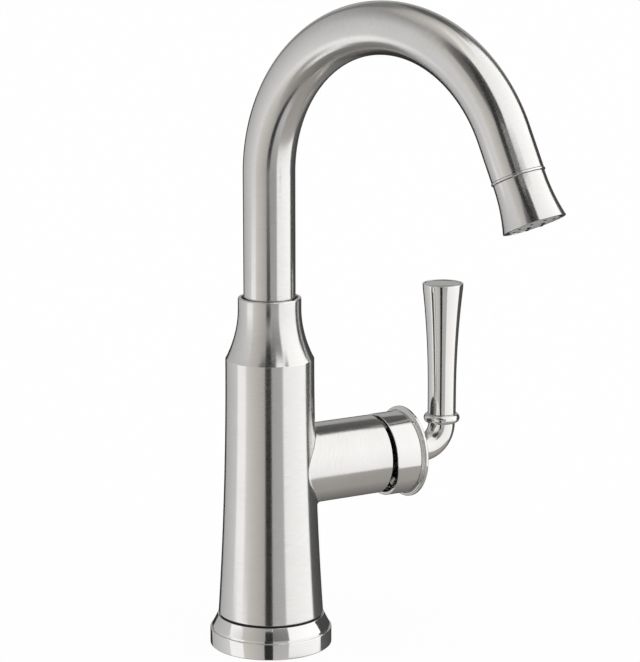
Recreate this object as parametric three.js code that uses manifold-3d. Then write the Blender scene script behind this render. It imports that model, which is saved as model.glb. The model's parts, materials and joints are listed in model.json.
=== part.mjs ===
// Gooseneck bar faucet: one deck hole, a swivelling spout and a single side lever.
// Millimetres, +Z up. The origin is the centre of the base ring's underside, on the deck.
// The side boss points along +X. Every piece is a mesh of its own.
import * as THREE from "three";
import { mergeVertices } from "three/addons/utils/BufferGeometryUtils.js";
import Module from "manifold-3d";

const wasm = await Module();
wasm.setup();

// ---------------------------------------------------------------- driving dimensions

// clearances
const seatGap = 0.3; // between faces that touch on the real faucet
const ringGap = 0.25; // round a seal ring in its groove
const runGap = 0.3; // round a shaft that turns in a bore
const lineGap = 0.1; // hairline between turned trim pieces that meet
const discGap = 0.2; // between the lapped discs and the driver

// body casting: flared column, coved shoulder, collar, side boss
const bodyFootRadius = 26.1;
const bodyTopRadius = 21.8;
const bodyFlarePower = 1.95; // how the flare gathers towards the foot
const bodyWall = 2.8;
const shoulderHeight = 145;
const shoulderStep = 0.25; // small flat at the top of the column before the cove
const coveHeight = 25;
const collarRadius = 15.5;
const collarHeight = 5.5; // upright part above the cove
const collarLipRadius = 1.6;
const footEdge = 0.5; // chamfer under the column
const roofThickness = 6; // solid neck floor above the hollow of the column

// side boss and what turns on it
const bossHeight = 88.95;
const bossRadius = 19.85;
const bossFillet = 1.7;

// base ring and the seal under the body
const baseRadius = 30.3;
const baseWallHeight = 8.2; // upright outer wall
const baseRingHeight = 15.1;
const baseStep = 0.75; // small step above the upright wall
const baseEdge = 0.9; // rounding over the upright wall
const baseFootEdge = 0.5;
const baseStepRise = 1.1; // how far above the upright wall the cove begins
const baseCovePower = 1.1;
const baseTopLip = 0.4; // how far the ring's top edge stands out past the column's foot
const bodySealHeight = 0.9; // dark line under the body
const bodySealInset = 0.9; // how far the seal stands back from the body's foot
const baseGasketWidth = 7.5;
const baseGasketHeight = 2.2;

// below the deck
const deckThickness = 30;
const shankRadius = 16;
const shankBore = 12.8;
const shankLength = 62; // below the deck face
const shankFlangeRadius = 21.7;
const shankFlangeHeight = 8;
const shankEdge = 1;
const clampRadius = 27;
const rubberWasherHeight = 3;
const steelWasherHeight = 2;
const nutHeight = 12;
const nutFlangeHeight = 5;
const nutFlangeRadius = 24;
const nutAcrossFlats = 41;
const jackScrewRadius = 2.5;
const jackScrewLength = 18;
const jackScrewCount = 3;
const supplyRadius = 4.75;
const supplyBore = 3.7;
const supplySpacing = 11.6; // between the hot and the cold tube
const supplyDrop = 92; // from the deck face down to the tube ends
const nippleRadius = 5.5;
const nippleLength = 14;
const nippleEdge = 0.6;
const nippleBore = 3.3;

// waterways inside the body
const blockBelow = 21; // valve block, below and above the boss axis
const blockAbove = 16;
const blockRadius = 12.5;
const blockRear = 9;
const supplySocket = 8; // how far the supply tubes go into the block
const riserSocket = 5;
const riserRadius = 6.5;
const riserWall = 1.3;

// spout: 1 inch tube, one long bend, straight nose with a flared outlet
const spoutHeading = -71.3; // degrees from the boss, seen from above
const tubeRadius = 12.7;
const tubeNoseRadius = 12.2; // the tube is drawn down slightly along the bend
const tubeWall = 1.2;
const tubeInsert = 24; // how far the tube goes into the collar
const spoutRise = 60.9; // from the collar's top to the start of the bend
const bendRadius = 73.8;
const bendSweep = 155.5; // degrees
const noseStraight = 19.2;

// spout foot: turned hub with a spigot that turns in the neck
const hubWall = 3.2;
const hubInTube = 18;
const spigotRadius = 9.5;
const spigotEdge = 0.6;
const spigotLength = 24.4;
const hubBore = 6.2;
const oringThickness = 1.7;
const lockScrewRadius = 2.1;
const lockScrewLength = 9;
const lockGrooveDepth = 1.6;
const bushingHeight = 7.2;
const bushingWall = 0.9;
const oringInset = 3.6; // seal ring centres, from the ends of the spigot

// outlet: seam ring, bell and aerator
const seamRingRadius = 12.55;
const seamRingHeight = 1.2;
const seamRingCrown = 0.35;
const bellLength = 22;
const bellTopRadius = 12.0;
const bellRimRadius = 14.7;
const bellWall = 1.5;
const bellFlarePower = 2.1;
const joinerWall = 1.7; // threaded sleeve that joins the nose and the bell
const joinerInTube = 11;
const joinerInBell = 9;
const aeratorRadius = 11.6;
const aeratorHeight = 11;
const aeratorWall = 1.3;
const aeratorFaceHeight = 1.6;
const aeratorSink = 0.2; // how far the outlet parts stand back from the rim
const aeratorFlangeRadius = 12.9; // wide front of the aerator
const aeratorFlangeHeight = 2.6;
const aeratorFlangeWall = 0.9;
const aeratorCrown = 1; // how far the middle of the jet plate stands out
const aeratorHoleRadius = 0.9;
const aeratorCircles = [[0.4, 4], [0.79, 9]]; // share of the radius, number of jets
const screenHeight = 1.2;
const screenPitch = 4.6;

// cartridge, from its seat outwards along the boss
const cartridgeSeat = 26.5; // face of the valve block
const cartridgeRadius = 15.0;
const cartridgeBaseHeight = 3.6;
const discHeight = 2.8;
const fixedDiscRadius = 12.1;
const movingDiscRadius = 8.8;
const driverHeight = 5.2;
const housingWall = 2.4;
const housingPastPivot = 3.7; // housing's end, outwards of the tilt axis
const stemRadius = 3.2;
const stemNeckRadius = 1.8;
const stemBallRadius = 2.3;
const stemBallDrop = 7.5; // ball centre, inwards of the tilt axis
const ballInDriver = 3.8; // ball centre, outwards of the driver's inner face
const stemShort = 0.9; // stem's end, inwards of the cap's plate
const pivotPinRadius = 1.4;
const carrierHeight = 7.4;
const maxTilt = 25; // degrees
const portOffset = 6.2;
const portRadius = 2.6;
const portSealWidth = 1.0;
const housingLip = 1.6; // turned in over the carrier
const carrierInset = 0.7; // carrier's outer face, inwards of the housing's end
const nutRadius = 17;
const nutDepth = 7;
const nutInset = 0.1; // nut's face, inwards of the boss's rim
const nutBore = 11.2;
const nutNotchWidth = 3.2;
const nutNotchDepth = 1.5;
const bonnetRadius = 21.3; // spherical, centred on the tilt axis
const bonnetHeight = 5.4;
const bonnetWall = 1.1;

// handle: cap, flange, elbow, bead and lever
const capDrop = 0.85; // the cap hangs a little below the boss axis
const capRadius = 20.9;
const capWall = 1.6;
const capGap = 2.3; // dark gap between the boss and the cap, at the top
const capRelief = 2.4; // how much more open the gap is at the bottom
const capBand = 13.9; // length of the band, up to the flange
const flangeRadius = 23.1;
const flangeDepth = 3.0;
const flangeBead = 0.85;
const flangeSeat = 0.6; // step the flange sits on, inwards of the band
const capPlate = 2.2; // front plate
const capRoot = 2.4; // slant inside, between the band and the plate
const capHubGap = 0.9; // between the hub and the bonnet's sphere
const capHubRadius = 6.6;
const elbowRadius = 6.8;
const elbowBend = 12.0;
const elbowUpright = 0.2; // straight end above the bend
const elbowPlug = 3.4; // spigot into the cap's plate
const leverRun = 22.1; // lever's axis, outwards of the cap's face
const beadRadius = 9.2;
const beadHeight = 4.8;
const leverLength = 67.5;
const leverFootRadius = 7.2;
const leverTopRadius = 10.4;
const leverFlarePower = 2.1;
const leverStraight = 9; // before the flare starts
const leverEdge = 1.3;
const leverCapRadius = 9.0;
const leverCapHeight = 1.6;
const leverCapRise = 0.6;
const studRadius = 3;
const studInLever = 16;
const studInElbow = 9;
const grubRadius = 2;
const grubLength = 5;

// facets
const sidesLarge = 32;
const sidesMedium = 20;
const sidesSmall = 12;
const sidesTiny = 8;

// ---------------------------------------------------------------- finishes

const finish = (color, roughness, metalness) => ({ color, roughness, metalness });
const brushedNickel = finish(0xb9b6b0, 0.34, 1);
const polishedNickel = finish(0xc6c3bd, 0.16, 1);
const brass = finish(0xb6904a, 0.4, 1);
const copper = finish(0xb87348, 0.35, 1);
const steel = finish(0x9a9da0, 0.45, 1);
const blackRubber = finish(0x17171a, 0.8, 0);
const blackPlastic = finish(0x101012, 0.4, 0);
const whitePlastic = finish(0xe6e4de, 0.5, 0);
const greyPlastic = finish(0x8f9296, 0.5, 0);
const ceramic = finish(0xf2efe8, 0.2, 0);
const alumina = finish(0xdedad0, 0.25, 0);

// ---------------------------------------------------------------- helpers

const radians = THREE.MathUtils.degToRad;
const faucet = new THREE.Group();

// welds a geometry by position and drops triangles that collapsed on the axis
function weld(geometry) {
  const plain = geometry.clone();
  plain.deleteAttribute("normal");
  plain.deleteAttribute("uv");
  const merged = mergeVertices(plain, 1e-5);
  const index = merged.index.array;
  const kept = [];
  for (let i = 0; i < index.length; i += 3) {
    const [a, b, c] = [index[i], index[i + 1], index[i + 2]];
    if (a !== b && b !== c && c !== a) kept.push(a, b, c);
  }
  merged.setIndex(kept);
  return merged;
}

function toManifold(geometry) {
  const merged = weld(geometry);
  return new wasm.Manifold(new wasm.Mesh({
    numProp: 3,
    vertProperties: new Float32Array(merged.attributes.position.array),
    triVerts: new Uint32Array(merged.index.array),
  }));
}

function toGeometry(manifold) {
  const mesh = manifold.getMesh();
  const geometry = new THREE.BufferGeometry();
  geometry.setAttribute("position", new THREE.BufferAttribute(mesh.vertProperties, 3));
  geometry.setIndex(new THREE.BufferAttribute(mesh.triVerts, 1));
  return geometry;
}

// base with tools joined on, then tools cut away
function shape(base, { join = [], cut = [] }) {
  let solid = toManifold(base);
  for (const tool of join) solid = solid.add(toManifold(tool));
  for (const tool of cut) solid = solid.subtract(toManifold(tool));
  return toGeometry(solid);
}

// turns [radius, height] pairs about +Z; pairs run outwards-and-up, counter-clockwise
function turned(pairs, sides) {
  const points = pairs.map(([radius, height]) => new THREE.Vector2(radius, height));
  return new THREE.LatheGeometry(points, sides).rotateX(Math.PI / 2);
}

// closed ring profile: the first pair is repeated at the end
const turnedRing = (pairs, sides) => turned([...pairs, pairs[0]], sides);

const tube = (outer, inner, low, high, sides) =>
  turnedRing([[inner, low], [outer, low], [outer, high], [inner, high]], sides);

const rod = (radius, low, high, sides) =>
  turned([[0, low], [radius, low], [radius, high], [0, high]], sides);

// round seal ring about +Z
function sealRing(centreRadius, thickness, height, sides) {
  const ring = new THREE.TorusGeometry(centreRadius, thickness / 2, 6, sides);
  return ring.translate(0, 0, height);
}

const alongX = (geometry) => geometry.rotateY(Math.PI / 2);
const alongY = (geometry) => geometry.rotateX(-Math.PI / 2);

// a point on a quarter or part circle, in [radius, height] form
function arcPairs(centre, radius, fromDeg, toDeg, steps) {
  return Array.from({ length: steps + 1 }, (_, i) => {
    const angle = radians(fromDeg + ((toDeg - fromDeg) * i) / steps);
    return [centre[0] + radius * Math.cos(angle), centre[1] + radius * Math.sin(angle)];
  });
}

const lerp = THREE.MathUtils.lerp;
const steps = (from, to, count) =>
  Array.from({ length: count + 1 }, (_, i) => lerp(from, to, i / count));

function add(group, name, geometry, material) {
  const mesh = new THREE.Mesh(geometry, new THREE.MeshStandardMaterial(material));
  mesh.name = name;
  group.add(mesh);
  return mesh;
}

// ---------------------------------------------------------------- how the pieces follow each other outwards along the boss
const baseStart = cartridgeSeat + seatGap;
const baseEnd = baseStart + cartridgeBaseHeight;
const fixedStart = baseEnd + seatGap;
const movingStart = fixedStart + discHeight + discGap;
const driverStart = movingStart + discHeight + discGap;
const driverEnd = driverStart + driverHeight;
const ballReach = driverStart + ballInDriver;
const pivotReach = ballReach + stemBallDrop; // tilt axis, from the faucet axis
const housingEnd = pivotReach + housingPastPivot;
const housingInner = cartridgeRadius - housingWall;
const carrierEnd = housingEnd - carrierInset;
const carrierStart = carrierEnd - carrierHeight;
const nutStart = housingEnd + seatGap;
const nutEnd = nutStart + nutDepth;
const bossReach = nutEnd + nutInset;
const capRear = bossReach + capGap;
const capFront = capRear + capBand;
const capFace = capFront + flangeDepth;
const capPlateStart = capFace - capPlate;
const stemEnd = capPlateStart - stemShort;
const leverReach = capFace + leverRun;

// ---------------------------------------------------------------- body casting

const bodyFoot = baseRingHeight + bodySealHeight;
const columnTop = shoulderHeight - shoulderStep;
const collarTop = shoulderHeight + coveHeight + collarHeight;

// outer radius of the column at a height
function columnRadius(height) {
  const down = (columnTop - height) / (columnTop - bodyFoot);
  return bodyTopRadius + (bodyFootRadius - bodyTopRadius) * Math.max(down, 0) ** bodyFlarePower;
}

// outer radius of the cove between the shoulder and the collar
function coveRadius(height) {
  const left = (shoulderHeight + coveHeight - height) / coveHeight;
  const edge = bodyTopRadius - shoulderStep / 2;
  return collarRadius + (edge - collarRadius) * Math.max(left, 0) ** 2;
}

const neckBore = tubeRadius + runGap;
const spigotBore = spigotRadius + runGap;
const neckFloor = collarTop - tubeInsert - seatGap;
const neckBoreFloor = neckFloor - seatGap - spigotLength;
const roofHeight = neckBoreFloor - roofThickness;
const bushingSeat = collarTop - seatGap - bushingHeight - seatGap;
const bushingOuter = tubeRadius + runGap + bushingWall;

function bodyOutside() {
  const column = steps(bodyFoot + footEdge, columnTop, 7).map((z) => [columnRadius(z), z]);
  const cove = steps(shoulderHeight, shoulderHeight + coveHeight, 6).map((z) => [coveRadius(z), z]);
  const lip = arcPairs(
    [collarRadius - collarLipRadius, collarTop - collarLipRadius], collarLipRadius, 0, 90, 3);
  return turned([
    [0, bodyFoot],
    [columnRadius(bodyFoot) - footEdge, bodyFoot],
    ...column,
    ...cove,
    ...lip,
    [0, collarTop],
  ], sidesLarge);
}

// boss barrel with a small fillet where it leaves the column
function bossBarrel() {
  const inner = bodyTopRadius - bodyWall - 6;
  const outside = steps(inner, bossReach, 1);
  const nearBody = steps(inner + 2, columnRadius(bossHeight - bossRadius) + bossFillet, 5);
  const pairs = [[0, outside[0]], [bossRadius, outside[0]],
    ...nearBody.map((x) => [bossRadius, x]), [bossRadius, bossReach], [0, bossReach]];
  const barrel = alongX(turned(pairs, sidesLarge));
  const position = barrel.attributes.position;
  const point = new THREE.Vector3();
  for (let i = 0; i < position.count; i += 1) {
    point.fromBufferAttribute(position, i);
    const across = Math.hypot(point.y, point.z);
    if (across < bossRadius / 2) continue;
    const surface = Math.sqrt(columnRadius(bossHeight + point.z) ** 2 - point.y ** 2);
    const fillet = bossFillet * Math.abs(point.z) / bossRadius;
    const away = THREE.MathUtils.clamp(point.x - surface, 0, fillet);
    const grow = fillet - Math.sqrt(Math.max(fillet ** 2 - (fillet - away) ** 2, 0));
    const scale = (across + grow) / across;
    position.setXYZ(i, point.x, point.y * scale, point.z * scale);
  }
  return barrel.translate(0, 0, bossHeight);
}

function bodyCavity() {
  const low = bodyFoot - 1;
  const inside = steps(bodyFoot + 1, roofHeight, 4).map((z) => [columnRadius(z) - bodyWall, z]);
  return turned([[0, low], [columnRadius(bodyFoot) - bodyWall, low], ...inside, [0, roofHeight]],
    sidesMedium);
}

function neckBores() {
  return turned([
    [0, roofHeight - 1],
    [riserRadius + seatGap, roofHeight - 1],
    [riserRadius + seatGap, neckBoreFloor],
    [spigotBore, neckBoreFloor],
    [spigotBore, neckFloor],
    [neckBore, neckFloor],
    [neckBore, bushingSeat],
    [bushingOuter + seatGap, bushingSeat],
    [bushingOuter + seatGap, collarTop + 1],
    [0, collarTop + 1],
  ], sidesMedium);
}

function bossBores() {
  const cartridgeBore = cartridgeRadius + seatGap;
  return alongX(turned([
    [0, 8],
    [cartridgeBore, 8],
    [cartridgeBore, housingEnd + seatGap],
    [nutRadius + seatGap, housingEnd + seatGap],
    [nutRadius + seatGap, bossReach + 1],
    [0, bossReach + 1],
  ], sidesMedium)).translate(0, 0, bossHeight);
}

const lockScrewHeight = neckBoreFloor + spigotLength / 2;
const lockScrewHole = alongY(
  rod(lockScrewRadius + seatGap, spigotBore - 1, bodyFootRadius, sidesTiny))
  .translate(0, 0, lockScrewHeight);

add(faucet, "body_shell", shape(bodyOutside(), {
  join: [bossBarrel()],
  cut: [bodyCavity(), neckBores(), bossBores(), lockScrewHole],
}), brushedNickel);

// ---------------------------------------------------------------- base ring and seals

const baseBore = shankRadius + seatGap;
const gasketMiddle = (baseBore + baseRadius) / 2;
const gasketInner = gasketMiddle - baseGasketWidth / 2;
const gasketOuter = gasketMiddle + baseGasketWidth / 2;

function baseRing() {
  const topRadius = bodyFootRadius + baseTopLip;
  const stepRadius = baseRadius - baseStep;
  const coveLow = baseWallHeight + baseStepRise;
  const coveFoot = stepRadius - lineGap * 2;
  const cove = steps(0, 1, 4).map((t) => [
    lerp(coveFoot, topRadius, 1 - (1 - t) ** baseCovePower),
    lerp(coveLow, baseRingHeight, t),
  ]);
  return turnedRing([
    [baseBore, 0],
    [gasketInner - seatGap, 0],
    [gasketInner - seatGap, baseGasketHeight],
    [gasketOuter + seatGap, baseGasketHeight],
    [gasketOuter + seatGap, 0],
    [baseRadius - baseFootEdge, 0],
    [baseRadius, baseFootEdge],
    ...arcPairs([baseRadius - baseEdge, baseWallHeight - baseEdge], baseEdge, 0, 90, 3),
    [coveFoot, baseWallHeight],
    ...cove,
    [baseBore, baseRingHeight],
  ], sidesLarge);
}

add(faucet, "base_ring", baseRing(), polishedNickel);
add(faucet, "base_gasket",
  tube(gasketOuter, gasketInner, 0, baseGasketHeight - seatGap, sidesMedium), blackRubber);
add(faucet, "body_seal", tube(
  bodyFootRadius - bodySealInset, bodyFootRadius - bodyWall,
  baseRingHeight + lineGap / 2, bodyFoot - lineGap / 2, sidesMedium), blackRubber);

// ---------------------------------------------------------------- shank and deck clamp

const shankFlangeLow = bodyFoot - seatGap - bodySealHeight / 2;

function mountingShank() {
  return turnedRing([
    [shankBore, -shankLength],
    [shankRadius - shankEdge, -shankLength],
    [shankRadius, -shankLength + shankEdge],
    [shankRadius, shankFlangeLow],
    [shankFlangeRadius, shankFlangeLow],
    [shankFlangeRadius, shankFlangeLow + shankFlangeHeight],
    [shankBore, shankFlangeLow + shankFlangeHeight],
  ], sidesMedium);
}

add(faucet, "mounting_shank", mountingShank(), brass);

const rubberTop = -deckThickness - seatGap;
const steelTop = rubberTop - rubberWasherHeight - seatGap;
const nutTop = steelTop - steelWasherHeight - seatGap;
const clampBore = shankRadius + seatGap;

add(faucet, "clamp_washer_rubber",
  tube(clampRadius, clampBore, rubberTop - rubberWasherHeight, rubberTop, sidesMedium),
  blackRubber);
add(faucet, "clamp_washer_steel",
  tube(clampRadius, clampBore, steelTop - steelWasherHeight, steelTop, sidesMedium), steel);

const jackCircle = (clampBore + nutFlangeRadius) / 2 + 0.3;
const jackAngles = steps(0, 360 * (1 - 1 / jackScrewCount), jackScrewCount - 1).map((a) => a + 30);

function onJackCircle(geometry, angle) {
  const turn = radians(angle);
  return geometry.translate(jackCircle * Math.cos(turn), jackCircle * Math.sin(turn), 0);
}

function mountingNut() {
  const low = nutTop - nutHeight;
  const flange = rod(nutFlangeRadius, nutTop - nutFlangeHeight, nutTop, sidesMedium);
  const hex = rod(nutAcrossFlats / 2 / Math.cos(Math.PI / 6), low, nutTop - 1, 6);
  const bore = rod(clampBore, low - 1, nutTop + 1, sidesMedium);
  const holes = jackAngles.map((angle) =>
    onJackCircle(rod(jackScrewRadius + seatGap, low - 1, nutTop + 1, sidesTiny), angle));
  return shape(flange, { join: [hex], cut: [bore, ...holes] });
}

// set screw with a hexagon socket in its low end
function socketScrew(radius, low, high) {
  const socket = rod(radius * 0.55, low - 1, low + radius * 1.2, 6);
  return shape(rod(radius, low, high, sidesTiny), { cut: [socket] });
}

add(faucet, "mounting_nut", mountingNut(), brass);
jackAngles.forEach((angle, i) => {
  const screw = onJackCircle(socketScrew(jackScrewRadius, nutTop - jackScrewLength, nutTop), angle);
  add(faucet, `jack_screw_${i + 1}`, screw, steel);
});

// ---------------------------------------------------------------- waterways inside the body

const blockLow = bossHeight - blockBelow;
const blockHigh = bossHeight + blockAbove;
const outletRise = portOffset + 1.4;
const riserBore = riserRadius - riserWall;

// brass block: two inlets from below, one outlet upwards, three ports on the cartridge seat
function valveBlock() {
  const upright = rod(blockRadius, blockLow, blockHigh, sidesMedium);
  const arm = alongX(rod(cartridgeRadius, -blockRear, cartridgeSeat, sidesMedium))
    .translate(0, 0, bossHeight);
  const cut = [];
  for (const side of [-1, 1]) {
    const y = (side * supplySpacing) / 2;
    cut.push(rod(supplyRadius + seatGap, blockLow - 1, blockLow + supplySocket, sidesTiny)
      .translate(0, y, 0));
    cut.push(rod(portRadius, blockLow, bossHeight - portOffset / 2, sidesTiny).translate(0, y, 0));
    cut.push(alongX(rod(portRadius, 0, cartridgeSeat + 1, sidesTiny))
      .translate(0, side * portOffset, bossHeight - portOffset / 2));
  }
  cut.push(rod(riserRadius + seatGap, blockHigh - riserSocket, blockHigh + 1, sidesSmall));
  cut.push(rod(riserBore, bossHeight + outletRise, blockHigh, sidesTiny));
  cut.push(alongX(rod(portRadius, 0, cartridgeSeat + 1, sidesTiny))
    .translate(0, 0, bossHeight + outletRise));
  return shape(upright, { join: [arm], cut });
}

add(faucet, "valve_block", valveBlock(), brass);
add(faucet, "outlet_riser", tube(
  riserRadius, riserBore, blockHigh - riserSocket + seatGap, neckBoreFloor - seatGap, sidesSmall),
copper);

for (const [name, side] of [["hot", -1], ["cold", 1]]) {
  const y = (side * supplySpacing) / 2;
  const end = -supplyDrop;
  add(faucet, `${name}_supply_tube`, tube(supplyRadius, supplyBore, end + nippleLength / 2,
    blockLow + supplySocket - seatGap, sidesTiny).translate(0, y, 0), copper);
  const nipple = turnedRing([
    [nippleBore, end],
    [nippleRadius - nippleEdge, end],
    [nippleRadius, end + nippleEdge],
    [nippleRadius, end + nippleLength],
    [supplyRadius + ringGap, end + nippleLength],
    [supplyRadius + ringGap, end + nippleLength / 2 - seatGap],
    [nippleBore, end + nippleLength / 2 - seatGap],
  ], sidesTiny).translate(0, y, 0);
  add(faucet, `${name}_supply_nipple`, nipple, brass);
}

// ---------------------------------------------------------------- spout swivel in the neck

const lockGrooveFloor = spigotRadius - lockGrooveDepth;
add(faucet, "spout_bushing", tube(
  bushingOuter, tubeRadius + runGap, bushingSeat + seatGap, collarTop - seatGap, sidesMedium),
blackPlastic);

const lockTip = lockGrooveFloor + runGap;
const lockScrew = alongY(socketScrew(
  lockScrewRadius, -lockTip - lockScrewLength, -lockTip)).rotateZ(Math.PI)
  .translate(0, 0, lockScrewHeight);
add(faucet, "spout_lock_screw", lockScrew, steel);

const spout = new THREE.Group();
spout.rotation.z = radians(spoutHeading);
faucet.add(spout);

const hubOuter = tubeRadius - tubeWall - seatGap;
const hubLow = neckBoreFloor + seatGap;
const hubShoulder = neckFloor + seatGap;
const grooveDepth = oringThickness + 2 * ringGap;
const grooveWidth = oringThickness + 2 * ringGap;
const grooveHeights = [hubLow + oringInset, hubShoulder - oringInset];

function spoutHub() {
  const groove = (height, depth, width) => [
    [spigotRadius, height - width / 2],
    [spigotRadius - depth, height - width / 2],
    [spigotRadius - depth, height + width / 2],
    [spigotRadius, height + width / 2],
  ];
  const top = hubShoulder + hubInTube;
  return turnedRing([
    [hubBore, hubLow],
    [spigotRadius - spigotEdge, hubLow],
    [spigotRadius, hubLow + spigotEdge],
    ...groove(grooveHeights[0], grooveDepth, grooveWidth),
    ...groove(lockScrewHeight, lockGrooveDepth, 2 * (lockScrewRadius + runGap)),
    ...groove(grooveHeights[1], grooveDepth, grooveWidth),
    [spigotRadius, hubShoulder - 0.1],
    [hubOuter, hubShoulder],
    [hubOuter, top],
    [hubOuter - hubWall, top],
    [hubOuter - hubWall, hubShoulder + 3],
    [hubBore, hubShoulder + 1],
  ], sidesSmall);
}

add(spout, "spout_hub", spoutHub(), brass);
["lower", "upper"].forEach((place, i) => {
  const centre = spigotBore - ringGap - oringThickness / 2;
  add(spout, `hub_oring_${place}`,
    sealRing(centre, oringThickness, grooveHeights[i], sidesSmall), blackRubber);
});

// centre line of the tube: up from the collar, over the bend, down the straight nose
const sweep = radians(bendSweep);
const bendSpringHeight = collarTop + spoutRise;
const bendCentre = new THREE.Vector3(bendRadius, 0, bendSpringHeight);
const bendEnd = new THREE.Vector3(
  bendRadius - bendRadius * Math.cos(sweep), 0, bendSpringHeight + bendRadius * Math.sin(sweep));
const noseDirection = new THREE.Vector3(Math.sin(sweep), 0, Math.cos(sweep));
const tubeFoot = collarTop - tubeInsert;

// ring of the tube wall at a station: angle round the bend and distance along the nose
function tubeStations() {
  const upright = steps(tubeFoot, bendSpringHeight, 3).slice(0, -1)
    .map((z) => ({ at: new THREE.Vector3(0, 0, z), turn: 0 }));
  const bend = steps(0, sweep, 20).map((turn) => ({
    at: new THREE.Vector3(bendRadius - bendRadius * Math.cos(turn), 0,
      bendSpringHeight + bendRadius * Math.sin(turn)),
    turn,
  }));
  const nose = { at: bendEnd.clone().addScaledVector(noseDirection, noseStraight), turn: sweep };
  return [...upright, ...bend, nose];
}

// hollow round wall swept ring by ring along the stations, drawn down towards the nose
function spoutTube() {
  const stations = tubeStations();
  const sides = 18;
  const outline = [];
  for (const wall of [0, tubeWall]) {
    for (const { at, turn } of stations) {
      const radius = lerp(tubeRadius, tubeNoseRadius, turn / sweep) - wall;
      const across = new THREE.Vector3(Math.cos(turn), 0, -Math.sin(turn));
      for (let k = 0; k < sides; k += 1) {
        const angle = (2 * Math.PI * k) / sides;
        outline.push(at.clone().addScaledVector(across, radius * Math.cos(angle))
          .add(new THREE.Vector3(0, radius * Math.sin(angle), 0)));
      }
    }
  }
  const rings = stations.length;
  const vertex = (wall, ring, k) => (wall * rings + ring) * sides + (k % sides);
  const index = [];
  const quad = (a, b, c, d) => index.push(a, b, c, a, c, d);
  for (let k = 0; k < sides; k += 1) {
    for (let ring = 0; ring + 1 < rings; ring += 1) {
      quad(vertex(0, ring, k), vertex(0, ring, k + 1),
        vertex(0, ring + 1, k + 1), vertex(0, ring + 1, k));
      quad(vertex(1, ring, k), vertex(1, ring + 1, k),
        vertex(1, ring + 1, k + 1), vertex(1, ring, k + 1));
    }
    quad(vertex(0, 0, k), vertex(1, 0, k), vertex(1, 0, k + 1), vertex(0, 0, k + 1));
    const last = rings - 1;
    quad(vertex(0, last, k), vertex(0, last, k + 1), vertex(1, last, k + 1), vertex(1, last, k));
  }
  const geometry = new THREE.BufferGeometry().setFromPoints(outline);
  geometry.setIndex(index);
  return geometry;
}

add(spout, "spout_tube", spoutTube(), brushedNickel);

// ---------------------------------------------------------------- outlet

// +Z of this group runs down the nose with the water, from the end of the tube
const outlet = new THREE.Group();
outlet.position.copy(bendEnd).addScaledVector(noseDirection, noseStraight);
outlet.rotation.y = sweep;
spout.add(outlet);

const noseInner = tubeNoseRadius - tubeWall;
const joinerOuter = noseInner - seatGap;
const joinerInner = joinerOuter - joinerWall;
const bellStart = seamRingHeight + 2 * lineGap;
const bellEnd = bellStart + bellLength;
const aeratorEnd = bellEnd - aeratorSink;
const aeratorStart = aeratorEnd - seatGap - aeratorHeight;
const aeratorLedge = aeratorEnd - aeratorFlangeHeight;
const plateLow = aeratorEnd - aeratorFaceHeight;
const plateSeatRadius = aeratorFlangeRadius - aeratorFlangeWall;

function bellRadius(along) {
  return bellTopRadius + (bellRimRadius - bellTopRadius) * (along / bellLength) ** bellFlarePower;
}

function spoutBell() {
  const outside = steps(0, bellLength - 0.5, 7).map((a) => [bellRadius(a), bellStart + a]);
  const mouth = aeratorRadius + seatGap;
  return turnedRing([
    [joinerOuter + ringGap, bellStart],
    ...outside,
    [bellRimRadius - 0.1, bellEnd - 0.2],
    [bellRimRadius - 0.5, bellEnd],
    [aeratorFlangeRadius + seatGap, bellEnd],
    [aeratorFlangeRadius + seatGap, aeratorLedge - seatGap],
    [mouth, aeratorLedge - seatGap],
    [mouth, aeratorStart - seatGap],
    [joinerOuter + ringGap, aeratorStart - seatGap - 0.8],
  ], sidesMedium);
}

const seamInner = joinerOuter + ringGap;
add(outlet, "seam_ring", turnedRing([
  [seamInner, 0],
  [seamRingRadius - seamRingCrown, 0],
  [seamRingRadius, seamRingHeight / 2],
  [seamRingRadius - seamRingCrown, seamRingHeight],
  [seamInner, seamRingHeight],
], sidesMedium).translate(0, 0, lineGap), polishedNickel);
add(outlet, "spout_bell", spoutBell(), brushedNickel);
add(outlet, "outlet_joiner", tube(joinerOuter, joinerInner, -joinerInTube, bellStart + joinerInBell,
  sidesSmall), brass);

function aeratorHousing() {
  return turnedRing([
    [joinerInner, aeratorStart],
    [aeratorRadius, aeratorStart],
    [aeratorRadius, aeratorLedge],
    [aeratorFlangeRadius, aeratorLedge],
    [aeratorFlangeRadius, aeratorEnd],
    [plateSeatRadius, aeratorEnd],
    [plateSeatRadius, plateLow - seatGap],
    [aeratorRadius - aeratorWall, plateLow - seatGap],
    [aeratorRadius - aeratorWall, aeratorStart + aeratorWall],
    [joinerInner, aeratorStart + aeratorWall],
  ], sidesMedium);
}

// rings of small jets through the crowned plate that closes the outlet
function aeratorFace() {
  const radius = plateSeatRadius - seatGap;
  const holes = [];
  for (const [circle, count] of aeratorCircles) {
    for (let i = 0; i < count; i += 1) {
      const angle = (2 * Math.PI * i) / count;
      holes.push(rod(aeratorHoleRadius, plateLow - 1, aeratorEnd + aeratorCrown + 1, 6).translate(
        radius * circle * Math.cos(angle), radius * circle * Math.sin(angle), 0));
    }
  }
  const crown = [0.9, 0.65, 0.35].map((share) => [
    radius * share, aeratorEnd + aeratorCrown * (1 - share ** 2)]);
  return shape(turned([
    [0, plateLow], [radius, plateLow], [radius, aeratorEnd], ...crown,
    [0, aeratorEnd + aeratorCrown],
  ], sidesMedium), { cut: holes });
}

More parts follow.
